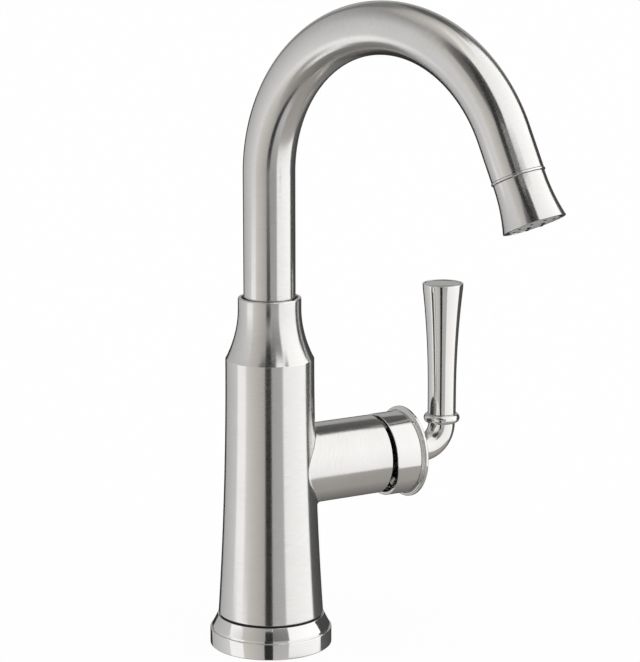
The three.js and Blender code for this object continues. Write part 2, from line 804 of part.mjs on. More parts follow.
// slots across the top and, turned a quarter, across the underside meet as a square mesh
function aeratorScreen() {
  const radius = aeratorRadius - aeratorWall - seatGap;
  const low = aeratorStart + aeratorWall + seatGap;
  const high = low + screenHeight;
  const depth = screenHeight * 0.6;
  const cut = [];
  for (const offset of [-screenPitch, 0, screenPitch]) {
    const length = 2 * Math.sqrt((radius - 1.2) ** 2 - (Math.abs(offset) + screenPitch / 3) ** 2);
    const slot = new THREE.BoxGeometry(screenPitch * 0.66, length, 2 * depth);
    cut.push(slot.clone().translate(offset, 0, high));
    cut.push(slot.clone().translate(offset, 0, 0).rotateZ(Math.PI / 2).translate(0, 0, low));
  }
  return shape(rod(radius, low, high, sidesSmall), { cut });
}

add(outlet, "aerator_housing", aeratorHousing(), blackPlastic);
add(outlet, "aerator_face", aeratorFace(), greyPlastic);
add(outlet, "aerator_screen", aeratorScreen(), steel);
add(outlet, "aerator_washer", tube(joinerOuter - 0.2, joinerInner,
  bellStart + joinerInBell + seatGap, aeratorStart - seatGap, sidesSmall), blackRubber);

// ---------------------------------------------------------------- cartridge in the boss

const boss = new THREE.Group();
boss.position.z = bossHeight;
faucet.add(boss);

const ports = [
  ["hot", -portOffset, -portOffset / 2],
  ["cold", portOffset, -portOffset / 2],
  ["mixed", 0, outletRise],
];
const portHoles = (radius, from, to) => ports.map(([, y, z]) =>
  alongX(rod(radius, from, to, sidesTiny)).translate(0, y, z));

const sealCentre = portRadius + portSealWidth / 2;

function cartridgeBase() {
  const disc = alongX(rod(cartridgeRadius, baseStart, baseEnd, sidesMedium));
  const recess = portHoles(sealCentre + portSealWidth / 2 + ringGap, baseStart - 1,
    baseStart + portSealWidth);
  return shape(disc, { cut: [...recess, ...portHoles(portRadius - 0.3, baseStart, baseEnd + 1)] });
}

add(boss, "cartridge_base", cartridgeBase(), whitePlastic);
for (const [name, y, z] of ports) {
  const seal = alongX(sealRing(sealCentre, portSealWidth, baseStart + portSealWidth / 2 - ringGap,
    sidesTiny)).translate(0, y, z);
  add(boss, `port_seal_${name}`, seal, blackRubber);
}
add(boss, "fixed_disc", shape(
  alongX(rod(fixedDiscRadius, fixedStart, fixedStart + discHeight, sidesMedium)),
  { cut: portHoles(portRadius - 0.3, fixedStart - 1, fixedStart + discHeight + 1) }), ceramic);

function cartridgeHousing() {
  return alongX(turnedRing([
    [housingInner, fixedStart],
    [cartridgeRadius, fixedStart],
    [cartridgeRadius, housingEnd],
    [housingInner - housingLip, housingEnd],
    [housingInner - housingLip, carrierEnd + runGap],
    [housingInner, carrierEnd + runGap],
  ], sidesMedium));
}

add(boss, "cartridge_housing", cartridgeHousing(), whitePlastic);

function cartridgeNut() {
  const ring = alongX(tube(nutRadius, nutBore, nutStart, nutEnd, sidesMedium));
  const notches = [0, 1].map((i) => new THREE.BoxGeometry(
    2 * nutNotchDepth, 2 * nutRadius + 2, nutNotchWidth)
    .rotateX((i * Math.PI) / 2).translate(nutEnd, 0, 0));
  return shape(ring, { cut: notches });
}

add(boss, "cartridge_nut", cartridgeNut(), brass);

// ring with a ball-shaped outside, so that the cap can tilt over it
function bonnetRing() {
  const start = bossReach + seatGap;
  const outside = steps(start, start + bonnetHeight, 4).map((x) =>
    [Math.sqrt(bonnetRadius ** 2 - (x - pivotReach) ** 2), x]);
  const mouth = outside.at(-1)[0] - bonnetWall;
  return alongX(turnedRing([
    [mouth, start],
    ...outside,
    [mouth, start + bonnetHeight],
  ], sidesMedium));
}

add(boss, "bonnet_ring", bonnetRing(), blackPlastic);

// ---------------------------------------------------------------- parts that turn with the lever

const slotHalf = stemRadius + 0.4;
const tiltSine = Math.sin(radians(maxTilt));

function stemCarrier() {
  const disc = alongX(turned([
    [0, carrierStart],
    [housingInner - runGap, carrierStart],
    [housingInner - runGap, carrierEnd],
    [0, carrierEnd],
  ], sidesMedium));
  const up = (pivotReach - carrierStart) * tiltSine + stemNeckRadius + 1.4;
  const down = (carrierEnd - pivotReach) * tiltSine + stemRadius + 1.4;
  const slot = new THREE.BoxGeometry(carrierHeight + 2, 2 * slotHalf, up + down)
    .translate((carrierStart + carrierEnd) / 2, 0, (up - down) / 2);
  const pinHole = alongY(rod(pivotPinRadius + runGap, -housingInner + 1, housingInner - 1,
    sidesTiny)).translate(pivotReach, 0, 0);
  return shape(disc, { cut: [slot, pinHole] });
}

add(boss, "stem_carrier", stemCarrier(), greyPlastic);
add(boss, "stem_pin", alongY(rod(pivotPinRadius, -housingInner + 1.4, housingInner - 1.4,
  sidesTiny)).translate(pivotReach, 0, 0), steel);

// moving ceramic disc with its mixing pocket, and the driver that the ball of the stem pushes
const mixPocket = new THREE.SphereGeometry(movingDiscRadius * 0.62, 12, 8)
  .scale(0.3, 1, 1).translate(movingStart, 0, 1);
add(boss, "moving_disc", shape(
  alongX(rod(movingDiscRadius, movingStart, movingStart + discHeight, sidesMedium)),
  { cut: [mixPocket] }), alumina);

const driverPocket = alongX(rod(stemBallRadius + runGap,
  ballReach - stemBallRadius - runGap, driverEnd + 1, sidesTiny));
add(boss, "disc_driver", shape(
  alongX(rod(movingDiscRadius, driverStart, driverEnd, sidesMedium)),
  { cut: [driverPocket] }), whitePlastic);

function valveStem() {
  const neck = alongX(rod(stemNeckRadius, ballReach, pivotReach, sidesTiny));
  const ball = new THREE.SphereGeometry(stemBallRadius, 12, 8).translate(ballReach, 0, 0);
  const shaft = alongX(rod(stemRadius, pivotReach - stemRadius, stemEnd, sidesTiny));
  const pinHole = alongY(rod(pivotPinRadius + runGap, -stemRadius - 1, stemRadius + 1,
    sidesTiny)).translate(pivotReach, 0, 0);
  return shape(shaft, { join: [neck, ball], cut: [pinHole] });
}

add(boss, "valve_stem", valveStem(), steel);

// ---------------------------------------------------------------- handle cap and flange

const handle = new THREE.Group();
handle.position.z = bossHeight - capDrop;
faucet.add(handle);

const hubStart = pivotReach + bonnetRadius + capHubGap;
const stemSocket = stemRadius + runGap;
const bandSeat = capRadius - capWall;
const flangeBore = bandSeat - flangeSeat;
const grubReach = (hubStart + capPlateStart) / 2;

// wedge that opens the lower part of the rear rim
function rimRelief() {
  const depth = 4 * capRelief;
  const blade = new THREE.BoxGeometry(depth, 3 * capRadius, 3 * capRadius);
  const lean = Math.atan2(capRelief, capRadius);
  return blade.translate(-depth / 2, 0, -1.5 * capRadius).rotateY(-lean).translate(capRear, 0, 0);
}

function handleCap() {
  const band = alongX(turned([
    [0, capRear],
    [capRadius, capRear],
    [capRadius, capFront],
    [flangeBore, capFront],
    [flangeBore, capFace],
    [0, capFace],
  ], sidesLarge));
  const hollow = alongX(turned([
    [0, capRear - 1],
    [bandSeat, capRear - 1],
    [bandSeat, capPlateStart - capRoot],
    [bandSeat - capRoot, capPlateStart],
    [0, capPlateStart],
  ], sidesLarge));
  const hub = alongX(rod(capHubRadius, hubStart, capPlateStart + 1, sidesSmall));
  const socket = alongX(rod(stemSocket, hubStart - 1, stemEnd + seatGap, sidesTiny))
    .translate(0, 0, capDrop);
  const grub = rod(grubRadius + ringGap, -capRadius - 1, 0, sidesTiny).translate(grubReach, 0, 0);
  const studHole = alongX(rod(elbowPlug + seatGap, capPlateStart - 1, capFace + 1, sidesTiny));
  const hollowed = toGeometry(toManifold(band).subtract(toManifold(hollow)));
  return shape(hollowed, { join: [hub], cut: [rimRelief(), socket, grub, studHole] });
}

add(handle, "handle_cap", handleCap(), brushedNickel);

// flange ring round the front of the cap: cove, step and rounded bead
function capFlange() {
  const inner = flangeBore + seatGap;
  const start = capFront + seatGap;
  const stepReach = start + flangeBead;
  const beadCentre = capFace - flangeBead - lineGap;
  return alongX(turnedRing([
    [inner, start],
    [capRadius + lineGap, start],
    [lerp(capRadius, flangeRadius - flangeBead, 0.3), lerp(start, stepReach, 0.6)],
    [flangeRadius - flangeBead, stepReach],
    ...arcPairs([flangeRadius - flangeBead, beadCentre], flangeBead, -60, 90, 4),
    [inner, capFace],
  ], sidesLarge));
}

add(handle, "cap_flange", capFlange(), polishedNickel);

const grubTop = -stemRadius - runGap + capDrop;
add(handle, "handle_grub_screw", socketScrew(grubRadius, grubTop - grubLength, grubTop)
  .translate(grubReach, 0, 0), steel);
const plugRadius = grubRadius + ringGap;
add(handle, "grub_hole_plug", rod(plugRadius - 0.2, -capRadius + 0.1, -bandSeat - 0.1, sidesTiny)
  .translate(grubReach, 0, 0), greyPlastic);

// ---------------------------------------------------------------- elbow, bead and lever

const elbowStart = capFace + lineGap;
const elbowTop = elbowBend + elbowUpright;
const beadLow = elbowTop + lineGap;
const beadTop = beadLow + beadHeight;
const leverLow = beadTop + lineGap;
const leverHigh = leverLow + leverLength;
const studBore = studRadius + seatGap;

// bent round bar: out of the cap, then up to the lever
function leverElbow() {
  const sides = 16;
  const corner = leverReach - elbowBend;
  const bends = 7;
  const onBend = (i) => {
    const angle = (Math.PI / 2) * (i / bends);
    return new THREE.Vector3(
      corner + elbowBend * Math.sin(angle), 0, elbowBend - elbowBend * Math.cos(angle));
  };
  const rings = [new THREE.Vector3(elbowStart, 0, 0)];
  const turns = [0];
  for (let i = 0; i <= bends; i += 1) {
    rings.push(onBend(i));
    turns.push((Math.PI / 2) * (i / bends));
  }
  rings.push(new THREE.Vector3(leverReach, 0, elbowTop));
  turns.push(Math.PI / 2);
  const points = [rings[0].clone()];
  rings.forEach((centre, i) => {
    const up = new THREE.Vector3(-Math.sin(turns[i]), 0, Math.cos(turns[i]));
    for (let k = 0; k < sides; k += 1) {
      const angle = (2 * Math.PI * k) / sides;
      points.push(centre.clone().addScaledVector(up, elbowRadius * Math.cos(angle))
        .add(new THREE.Vector3(0, elbowRadius * Math.sin(angle), 0)));
    }
  });
  points.push(rings.at(-1).clone());
  const at = (ring, k) => 1 + ring * sides + (k % sides);
  const end = points.length - 1;
  const index = [];
  for (let k = 0; k < sides; k += 1) {
    index.push(0, at(0, k), at(0, k + 1));
    for (let ring = 0; ring + 1 < rings.length; ring += 1) {
      index.push(at(ring, k), at(ring + 1, k), at(ring + 1, k + 1));
      index.push(at(ring, k), at(ring + 1, k + 1), at(ring, k + 1));
    }
    index.push(end, at(rings.length - 1, k + 1), at(rings.length - 1, k));
  }
  const bar = new THREE.BufferGeometry().setFromPoints(points);
  bar.setIndex(index);
  const studHole = rod(studBore, elbowTop - studInElbow, elbowTop + 1, sidesTiny)
    .translate(leverReach, 0, 0);
  const plug = alongX(rod(elbowPlug, capPlateStart + seatGap, elbowStart + 1, sidesTiny));
  return shape(bar, { join: [plug], cut: [studHole] });
}

add(handle, "lever_elbow", leverElbow(), polishedNickel);

const lever = new THREE.Group();
lever.position.x = leverReach;
handle.add(lever);

add(lever, "lever_bead", turnedRing([
  [studBore, beadLow],
  [leverFootRadius - 0.3, beadLow],
  ...arcPairs([beadRadius - beadHeight / 2, (beadLow + beadTop) / 2], beadHeight / 2, -70, 70, 4),
  [leverFootRadius - 0.3, beadTop],
  [studBore, beadTop],
], sidesMedium), polishedNickel);

function leverRadius(height) {
  const start = leverLow + leverStraight;
  const flareTop = leverHigh - leverEdge;
  const up = THREE.MathUtils.clamp((height - start) / (flareTop - start), 0, 1);
  return leverFootRadius + (leverTopRadius - leverFootRadius) * up ** leverFlarePower;
}

function leverGrip() {
  const side = steps(leverLow + leverStraight, leverHigh - leverEdge, 7)
    .map((z) => [leverRadius(z), z]);
  return turned([
    [0, leverLow + studInLever + 1],
    [studBore, leverLow + studInLever],
    [studBore, leverLow],
    [leverFootRadius, leverLow],
    ...side,
    ...arcPairs([leverTopRadius - leverEdge, leverHigh - leverEdge], leverEdge, 20, 90, 3),
    [leverCapRadius + ringGap, leverHigh],
    [leverCapRadius + ringGap, leverHigh - leverCapHeight],
    [0, leverHigh - leverCapHeight],
  ], sidesMedium);
}

add(lever, "lever_grip", leverGrip(), polishedNickel);

// shallow domed button let into the top of the lever
const domeLow = leverHigh - leverCapHeight + seatGap;
const dome = steps(0, 1, 3).map((t) => [
  leverCapRadius * (1 - t),
  leverHigh + leverCapRise * (1 - (1 - t) ** 2),
]);
add(lever, "lever_button", turned(
  [[0, domeLow], [leverCapRadius, domeLow], ...dome], sidesMedium), polishedNickel);
add(lever, "lever_stud", rod(studRadius, elbowTop - studInElbow + seatGap,
  leverLow + studInLever - seatGap, sidesTiny), steel);

export default faucet;
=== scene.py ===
"""Gooseneck bar faucet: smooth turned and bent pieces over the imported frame, their
finishes, the sink deck it stands on and the studio round it. Lengths are written in
millimetres and become metres where a mesh is made; only the studio's cards stand at
distances in metres."""
import json
import math

import bmesh
import bpy
import numpy as np
from mathutils import Matrix


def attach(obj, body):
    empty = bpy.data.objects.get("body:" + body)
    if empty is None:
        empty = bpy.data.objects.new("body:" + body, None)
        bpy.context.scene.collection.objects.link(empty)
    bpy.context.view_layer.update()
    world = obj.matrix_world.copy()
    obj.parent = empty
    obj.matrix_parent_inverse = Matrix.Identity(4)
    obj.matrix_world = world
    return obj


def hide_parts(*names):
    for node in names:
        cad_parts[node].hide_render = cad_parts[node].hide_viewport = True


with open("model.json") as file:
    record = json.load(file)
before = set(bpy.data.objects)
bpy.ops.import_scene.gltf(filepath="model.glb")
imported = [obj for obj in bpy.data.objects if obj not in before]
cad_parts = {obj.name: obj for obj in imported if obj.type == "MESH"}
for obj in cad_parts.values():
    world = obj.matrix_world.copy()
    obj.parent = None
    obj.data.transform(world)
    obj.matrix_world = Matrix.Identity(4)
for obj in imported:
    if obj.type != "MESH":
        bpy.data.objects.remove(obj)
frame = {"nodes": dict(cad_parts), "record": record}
MM = 0.001
PI = math.pi
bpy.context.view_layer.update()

# ---------------- sizes, as in the frame
# column, shoulder and collar, with the bores down the middle
FOOT_R, TOP_R, FLARE, WALL = 26.1, 21.8, 1.95, 2.8
FOOT_Z, SHOULDER_Z, STEP = 16.0, 145.0, 0.25
COVE_H, COLLAR_R, COLLAR_Z, LIP = 25.0, 15.5, 175.5, 1.6
MOUTH_R, HUB_R, THROAT_R, OUTLET_R = 13.9, 13.0, 9.8, 6.8
MOUTH_Z, HUB_Z, THROAT_Z, HOLLOW_Z = 167.7, 151.2, 126.5, 120.5
LOCK_Z, LOCK_HOLE_R = 138.7, 2.4
# side boss with its bores
BOSS_Z, BOSS_R, BOSS_END = 88.95, 19.85, 59.1
FILLET, FILLET_ABOVE, FILLET_BELOW = 0.35, 0.9, 2.3
NUT_BORE_R, NUT_BORE_X, CARTRIDGE_R, CARTRIDGE_X = 17.3, 52.0, 15.3, 12.0
# base ring, seal and bushing
BASE_R, BASE_WALL, BASE_Z, BASE_STEP = 30.3, 8.2, 15.1, 0.95
GROOVE_IN, GROOVE_OUT, GROOVE_DEPTH = 19.25, 27.35, 2.2
SEAL_IN, SEAL_OUT, SEAL_LOW, SEAL_HIGH = 23.3, 25.2, 15.15, 15.95
BUSHING_LOW, BUSHING_HIGH = 168.0, 175.2
# clamp under the deck, one piece below the other with a small gap between
DECK, GAP, RUBBER, STEEL = 30.0, 0.3, 3.0, 2.0
SHANK_R, SHANK_BORE_R, SHANK_END, CLEAR_R = 16.0, 12.8, -62.0, 16.3
SHANK_FLANGE_R, SHANK_FLANGE_LOW, SHANK_FLANGE_HIGH = 21.7, 15.25, 23.25
WASHER_R = 27.0
NUT_TOP = -(DECK + RUBBER + STEEL + 3 * GAP)
NUT_H, NUT_FLANGE_H, NUT_FLANGE_R, NUT_FLAT = 12.0, 5.0, 24.0, 20.5
JACK_R, JACK_HOLE_R, JACK_CIRCLE, JACK_L, SOCKET_R = 2.5, 2.8, 20.45, 18.0, 1.4
# inlets
INLET_Y, NIPPLE_R, NIPPLE_LOW, NIPPLE_TOP = 5.8, 5.5, -92.0, -78.0
PIPE_R, PIPE_BORE_R, PIPE_LOW, PIPE_TOP = 4.75, 3.7, -85.0, 75.65
# spout
TUBE_R, NOSE_R, TUBE_WALL, TUBE_FOOT = 12.7, 12.2, 1.2, 152.0
SPRING_Z, BEND_R, SWEEP, NOSE_L = 236.4, 73.8, math.radians(155.5), 19.2
HEADING = math.radians(-71.3)
# seam ring, bell and aerator, along the nose
JOINER_R, SEAM_R, SEAM_LOW, SEAM_HIGH = 10.95, 12.55, 0.1, 1.3
BELL_FOOT_R, BELL_R, BELL_LOW, BELL_END, BELL_FLARE = 12.0, 14.7, 1.4, 23.4, 2.1
CUP_LOW, CUP_END = 11.9, 23.2
PLATE_R, PLATE_LOW, PLATE_RIM, CROWN = 11.7, 21.6, 23.2, 24.2
JET_R, JET_TIP_R, JET_BORE_R = 0.9, 0.88, 0.5
# cap and its flange, along the boss
PIVOT_X = 48.0
CAP_Z, CAP_R, CAP_REAR, CAP_FRONT, CAP_RELIEF = 88.1, 20.9, 61.4, 75.3, 2.4
CAP_BORE_R, CAP_FLOOR, CAP_FACE, RELIEF_X = 19.3, 76.1, 78.3, 69.0
FLANGE_R, FLANGE_STEP_R = 23.1, 22.25
GRUB_X, GRUB_HOLE_R = 73.15, 2.25
BONNET_R, BONNET_LOW, BONNET_HIGH = 21.3, 59.4, 64.7
# elbow, bead, grip and button, upwards from the cap's axis
LEVER_X, ELBOW_R, ELBOW_BEND, ELBOW_TOP = 100.4, 6.8, 12.0, 12.2
BEAD_R, BEAD_ROUND, BEAD_MID, STUD_R = 6.8, 2.4, 14.7, 3.3
LEVER_LOW, LEVER_L, LEVER_FOOT, LEVER_TOP = 17.2, 67.5, 7.2, 10.4
BUTTON_R, BUTTON_CROWN = 9.0, 0.6


def placed(name, data):
    """New object in the scene, with its mesh or camera."""
    item = bpy.data.objects.new(name, data)
    bpy.context.scene.collection.objects.link(item)
    return item


# ---------------- camera

CAMERA_PLACE = (-577.3, -1045.8, 410.1)
CAMERA_RIGHT, CAMERA_UP = np.array([0.8654, -0.5010, 0.0]), np.array([0.1033, 0.1784, 0.9786])
CAMERA_SIDE = np.array([CAMERA_RIGHT[1], -CAMERA_RIGHT[0], 0.0])
LENS, LENS_SHIFT, SENSOR = 135.95, 0.0006, 36.0


def camera():
    """Camera at the photograph's viewing angle."""
    data = bpy.data.cameras.new("camera")
    data.lens, data.shift_x, data.sensor_width = LENS, LENS_SHIFT, SENSOR
    data.clip_start, data.clip_end = 0.05, 60.0
    eye = placed("camera", data)
    back = np.cross(CAMERA_RIGHT, CAMERA_UP)
    turn = Matrix([[CAMERA_RIGHT[i], CAMERA_UP[i], back[i]] for i in range(3)]).to_4x4()
    turn.translation = [value * MM for value in CAMERA_PLACE]
    eye.matrix_world = turn
    bpy.context.scene.camera = eye


camera()

# ---------------- surfaces on a grid

UPRIGHT = (np.array([0.0, 0, 0]), np.eye(3))
Z = np.array([0.0, 0, 1])
SHARP = math.radians(32.0)


def axes_at(origin, along, across):
    """Place whose third axis is along and whose first is across."""
    along = np.array(along, float) / np.linalg.norm(along)
    across = np.array(across, float) / np.linalg.norm(across)
    return np.array(origin, float), np.stack([across, np.cross(along, across), along])


def skin(points, closed_rows):
    """Grid of rows x columns, columns always meeting round; rows meet round too when
    closed_rows, and otherwise a first or last row of one point is a pole.
    Returns points, faces and the loops' (turn, run) pairs."""
    rows, cols = points.shape[:2]
    index = np.arange(rows * cols).reshape(rows, cols)
    last = rows if closed_rows else rows - 1
    i = np.arange(last)[:, None]
    j = np.arange(cols)[None, :]
    k, m = (i + 1) % rows, (j + 1) % cols
    quads = np.stack(np.broadcast_arrays(
        index[i, j], index[i, m], index[k, m], index[k, j]), -1).reshape(-1, 4)
    run = np.zeros(last + 1)
    step = np.linalg.norm(np.diff(points[:, 0], axis=0, append=points[:1, 0]), axis=1)
    run[1:] = np.cumsum(step[:last])
    u = np.broadcast_to(j / cols, (last, cols))
    v = np.broadcast_to(run[:-1][:, None], (last, cols))
    u2 = u + 1.0 / cols
    v2 = np.broadcast_to(run[1:][:, None], (last, cols))
    loops = np.stack([np.stack([u, v], -1), np.stack([u2, v], -1),
                      np.stack([u2, v2], -1), np.stack([u, v2], -1)], 2).reshape(-1, 4, 2)
    return points.reshape(-1, 3), quads, loops


def make(name, parts, body, material, nodes=(), edges=None):
    """Mesh object from one or more skins, riding on a body and standing for the nodes.
    Faces of each skin are turned to point outwards by the sign of its volume. edges are
    the marks of its rounded rows, for the wear."""
    points, quads, loops, start = [], [], [], 0
    for p, q, l in parts:
        a, b, c, d = (p[q[:, n]] for n in range(4))
        volume = (np.cross(a, b) * c).sum() + (np.cross(a, c) * d).sum()
        if volume < 0:
            q, l = q[:, ::-1], l[:, ::-1]
        points.append(p)
        quads.append(q + start)
        loops.append(l)
        start += len(p)
    points, quads, loops = map(np.concatenate, (points, quads, loops))
    mesh = bpy.data.meshes.new(name)
    mesh.vertices.add(len(points))
    mesh.vertices.foreach_set("co", (points * MM).astype(np.float32).ravel())
    mesh.loops.add(quads.size)
    mesh.loops.foreach_set("vertex_index", quads.astype(np.int32).ravel())
    mesh.polygons.add(len(quads))
    mesh.polygons.foreach_set("loop_start", np.arange(0, quads.size, 4, dtype=np.int32))
    mesh.update(calc_edges=True)
    layer = mesh.uv_layers.new(name="turned")
    layer.data.foreach_set("uv", (loops * [1.0, MM]).astype(np.float32).ravel())
    if edges is not None:
        wear = mesh.attributes.new("edge", "FLOAT", "POINT")
        wear.data.foreach_set("value", np.concatenate(edges).astype(np.float32))
    clean(mesh)
    mesh.polygons.foreach_set("use_smooth", np.ones(len(mesh.polygons), bool))
    mesh.set_sharp_from_angle(angle=SHARP)
    mesh.materials.append(material)
    piece = placed(name, mesh)
    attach(piece, body)
    if nodes:
        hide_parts(*nodes)
    return piece


def clean(mesh):
    """Joins the doubled points of the poles, which turns their quads into triangles."""
    work = bmesh.new()
    work.from_mesh(mesh)
    bmesh.ops.remove_doubles(work, verts=work.verts, dist=1e-7)
    bmesh.ops.dissolve_degenerate(work, edges=work.edges, dist=1e-8)
    work.to_mesh(mesh)
    work.free()


def rounded(corners, steps=5):
    """Profile from corners (radius, height, fillet): each corner with a fillet becomes
    an arc tangent to its two sides. Returns pairs and a 0..1 mark of the arcs."""
    pairs, marks = [], []
    count = len(corners)
    for i, corner in enumerate(corners):
        here = np.array(corner[:2], float)
        fillet = corner[2] if len(corner) > 2 else 0.0
        if fillet <= 0:
            pairs.append(here[None])
            marks.append([0.0])
            continue
        before = np.array(corners[i - 1][:2], float) - here
        after = np.array(corners[(i + 1) % count][:2], float) - here
        reach_b, reach_a = np.linalg.norm(before), np.linalg.norm(after)
        before, after = before / reach_b, after / reach_a
        half = 0.5 * math.acos(np.clip(before @ after, -0.999999, 0.999999))
        cut = min(fillet / math.tan(half), 0.49 * reach_b, 0.49 * reach_a)
        t = np.linspace(0, 1, steps + 1)[:, None]
        start, end = here + before * cut, here + after * cut
        pairs.append((1 - t) ** 2 * start + 2 * t * (1 - t) * here + t ** 2 * end)
        marks.append(np.sin(PI * t[:, 0]))
    return np.concatenate(pairs), np.concatenate(marks)


def round_wall(place, radius, height, closed):
    """Wall round an axis: point = origin + r cos(a) e1 + r sin(a) e2 + h e3, with a
    running once round, one height for each row and a radius for each of its angles."""
    origin, (e1, e2, e3) = place
    a = np.linspace(0, 2 * PI, radius.shape[1], endpoint=False)
    ring = np.cos(a)[None, :, None] * e1 + np.sin(a)[None, :, None] * e2
    return skin(origin + radius[..., None] * ring + height[:, None, None] * e3, closed)


def turned(profile, place=UPRIGHT, sides=128, closed=True):
    """Surface of revolution from pairs (radius, height), the same radius all round."""
    pairs = np.asarray(profile, float)
    return round_wall(place, np.tile(pairs[:, :1], sides), pairs[:, 1], closed)


def mark_rows(marks, sides):
    """Marks of a profile, repeated for every point of the rows that it makes."""
    return np.repeat(np.asarray(marks, float), sides)


def carried(centres, across, aside, radii, closed, sides=96):
    """Round wall carried along a path: point = centre + r (cos a across + sin a aside),
    one row of points for each centre of the path."""
    a = np.linspace(0, 2 * PI, sides, endpoint=False)
    ring = (np.cos(a)[None, :, None] * across[:, None, :]
            + np.sin(a)[None, :, None] * aside[:, None, :])
    return skin(centres[:, None, :] + radii[:, None, None] * ring, closed)


def rod(radius, low, high, place, sides):
    """Plain bar, used as a cutter; its ends are poles. Six sides cut a hexagon."""
    return turned([[0, low], [radius, low], [radius, high], [0, high]], place, sides, False)


def bored(piece, tools):
    """Takes tools, a list of skins, out of a piece with one exact boolean."""
    cutter = make("cutter", tools, "body", piece.data.materials[0])
    cut = piece.modifiers.new("bore", "BOOLEAN")
    cut.operation, cut.solver, cut.object = "DIFFERENCE", "EXACT", cutter
    graph = bpy.context.evaluated_depsgraph_get()
    result = bpy.data.meshes.new_from_object(piece.evaluated_get(graph))
    piece.modifiers.clear()
    old, piece.data = piece.data, result
    piece.data.name = piece.name
    piece.data.set_sharp_from_angle(angle=SHARP)
    bpy.data.objects.remove(cutter)
    bpy.data.meshes.remove(old)


# ---------------- shader groups

def group(name, inputs, outputs):
    """Empty node group with named float or colour sockets and its two end nodes."""
    tree = bpy.data.node_groups.new(name, "ShaderNodeTree")
    for label, kind, value in inputs:
        made = tree.interface.new_socket(label, in_out="INPUT", socket_type=kind)
        made.default_value = value
    for label, kind in outputs:
        tree.interface.new_socket(label, in_out="OUTPUT", socket_type=kind)
    return tree, tree.nodes.new("NodeGroupInput"), tree.nodes.new("NodeGroupOutput")


class Wiring:
    """Short hand for placing nodes in a tree and joining their sockets."""

    def __init__(self, tree):
        self.tree = tree

    def node(self, kind, links=None, **settings):
        """New node with its settings, and a link or a value for each named socket."""
        made = self.tree.nodes.new(kind)
        for key, value in settings.items():
            setattr(made, key, value)
        for socket, value in (links or {}).items():
            self.put(made.inputs[socket], value)
        return made

    def put(self, socket, value):
        """Joins a socket to another one, or gives it a value."""
        if isinstance(value, bpy.types.NodeSocket):
            self.tree.links.new(value, socket)
        else:
            socket.default_value = value

    def math(self, operation, *values, clamp=False):
        """Result of a math node on links or values."""
        made = self.tree.nodes.new("ShaderNodeMath")
        made.operation, made.use_clamp = operation, clamp
        for socket, value in zip(made.inputs, values):
            self.put(socket, value)
        return made.outputs[0]

    def ramp(self, factor, stops):
        """Grey level that runs through stops of (place, level)."""
        made = self.tree.nodes.new("ShaderNodeValToRGB")
        while len(made.color_ramp.elements) < len(stops):
            made.color_ramp.elements.new(0.5)
        for element, (place, value) in zip(made.color_ramp.elements, stops):
            element.position = place
            element.color = (value, value, value, 1)
        self.put(made.inputs[0], factor)
        return made.outputs[0]

    def mix(self, factor, low, high):
        """Colour between two, by a factor."""
        made = self.tree.nodes.new("ShaderNodeMix")
        made.data_type = "RGBA"
        for socket, value in ((0, factor), (6, low), (7, high)):
            self.put(made.inputs[socket], value)
        return made.outputs[2]


def wiring_of(owner):
    """Wiring of a material's or the world's own nodes, emptied of the ones it comes with."""
    owner.use_nodes = True
    owner.node_tree.nodes.clear()
    return Wiring(owner.node_tree)


def turned_grain():
    """Fine rings left by turning or by a brushing belt. The piece's own turn and run
    become cos, sin and length, so the pattern meets itself after one turn."""
    tree, come, go = group("Turned grain", [
        ("Around", "NodeSocketFloat", 3.0), ("Along", "NodeSocketFloat", 5200.0)],
        [("Grain", "NodeSocketFloat"), ("Cloud", "NodeSocketFloat")])
    w = Wiring(tree)
    uv = w.node("ShaderNodeUVMap", uv_map="turned")
    part = w.node("ShaderNodeSeparateXYZ", {0: uv.outputs[0]})
    angle = w.math("MULTIPLY", part.outputs[0], 2 * PI)
    c = w.math("MULTIPLY", w.math("COSINE", angle), come.outputs["Around"])
    s = w.math("MULTIPLY", w.math("SINE", angle), come.outputs["Around"])
    run = w.math("MULTIPLY", part.outputs[1], come.outputs["Along"])
    place = w.node("ShaderNodeCombineXYZ", {0: c, 1: s, 2: run})
    fine = w.node("ShaderNodeTexNoise", {"Vector": place.outputs[0], "Scale": 1.0,
                                         "Detail": 3.0, "Roughness": 0.62})
    soft = w.node("ShaderNodeCombineXYZ", {
        0: w.math("COSINE", angle), 1: w.math("SINE", angle),
        2: w.math("MULTIPLY", part.outputs[1], 55.0)})
    cloud = w.node("ShaderNodeTexNoise", {"Vector": soft.outputs[0], "Scale": 1.3,
                                          "Detail": 3.0, "Roughness": 0.55})
    w.put(go.inputs["Grain"], fine.outputs[0])
    w.put(go.inputs["Cloud"], cloud.outputs[0])
    return tree


def edge_wear():
    """Mark of the rounded edges, broken up so that the polish varies along them."""
    tree, come, go = group("Edge wear", [("Amount", "NodeSocketFloat", 1.0)],
                           [("Wear", "NodeSocketFloat")])
    w = Wiring(tree)
    mark = w.node("ShaderNodeAttribute", attribute_name="edge")
    place = w.node("ShaderNodeTexCoord")
    spots = w.node("ShaderNodeTexNoise", {"Vector": place.outputs["Object"],
                                          "Scale": 420.0, "Detail": 3.0})
    broken = w.math("MULTIPLY", mark.outputs["Fac"],
                    w.math("MULTIPLY_ADD", spots.outputs[0], 0.9, 0.45))
    w.put(go.inputs["Wear"], w.math("MULTIPLY", broken, come.outputs["Amount"], clamp=True))
    return tree


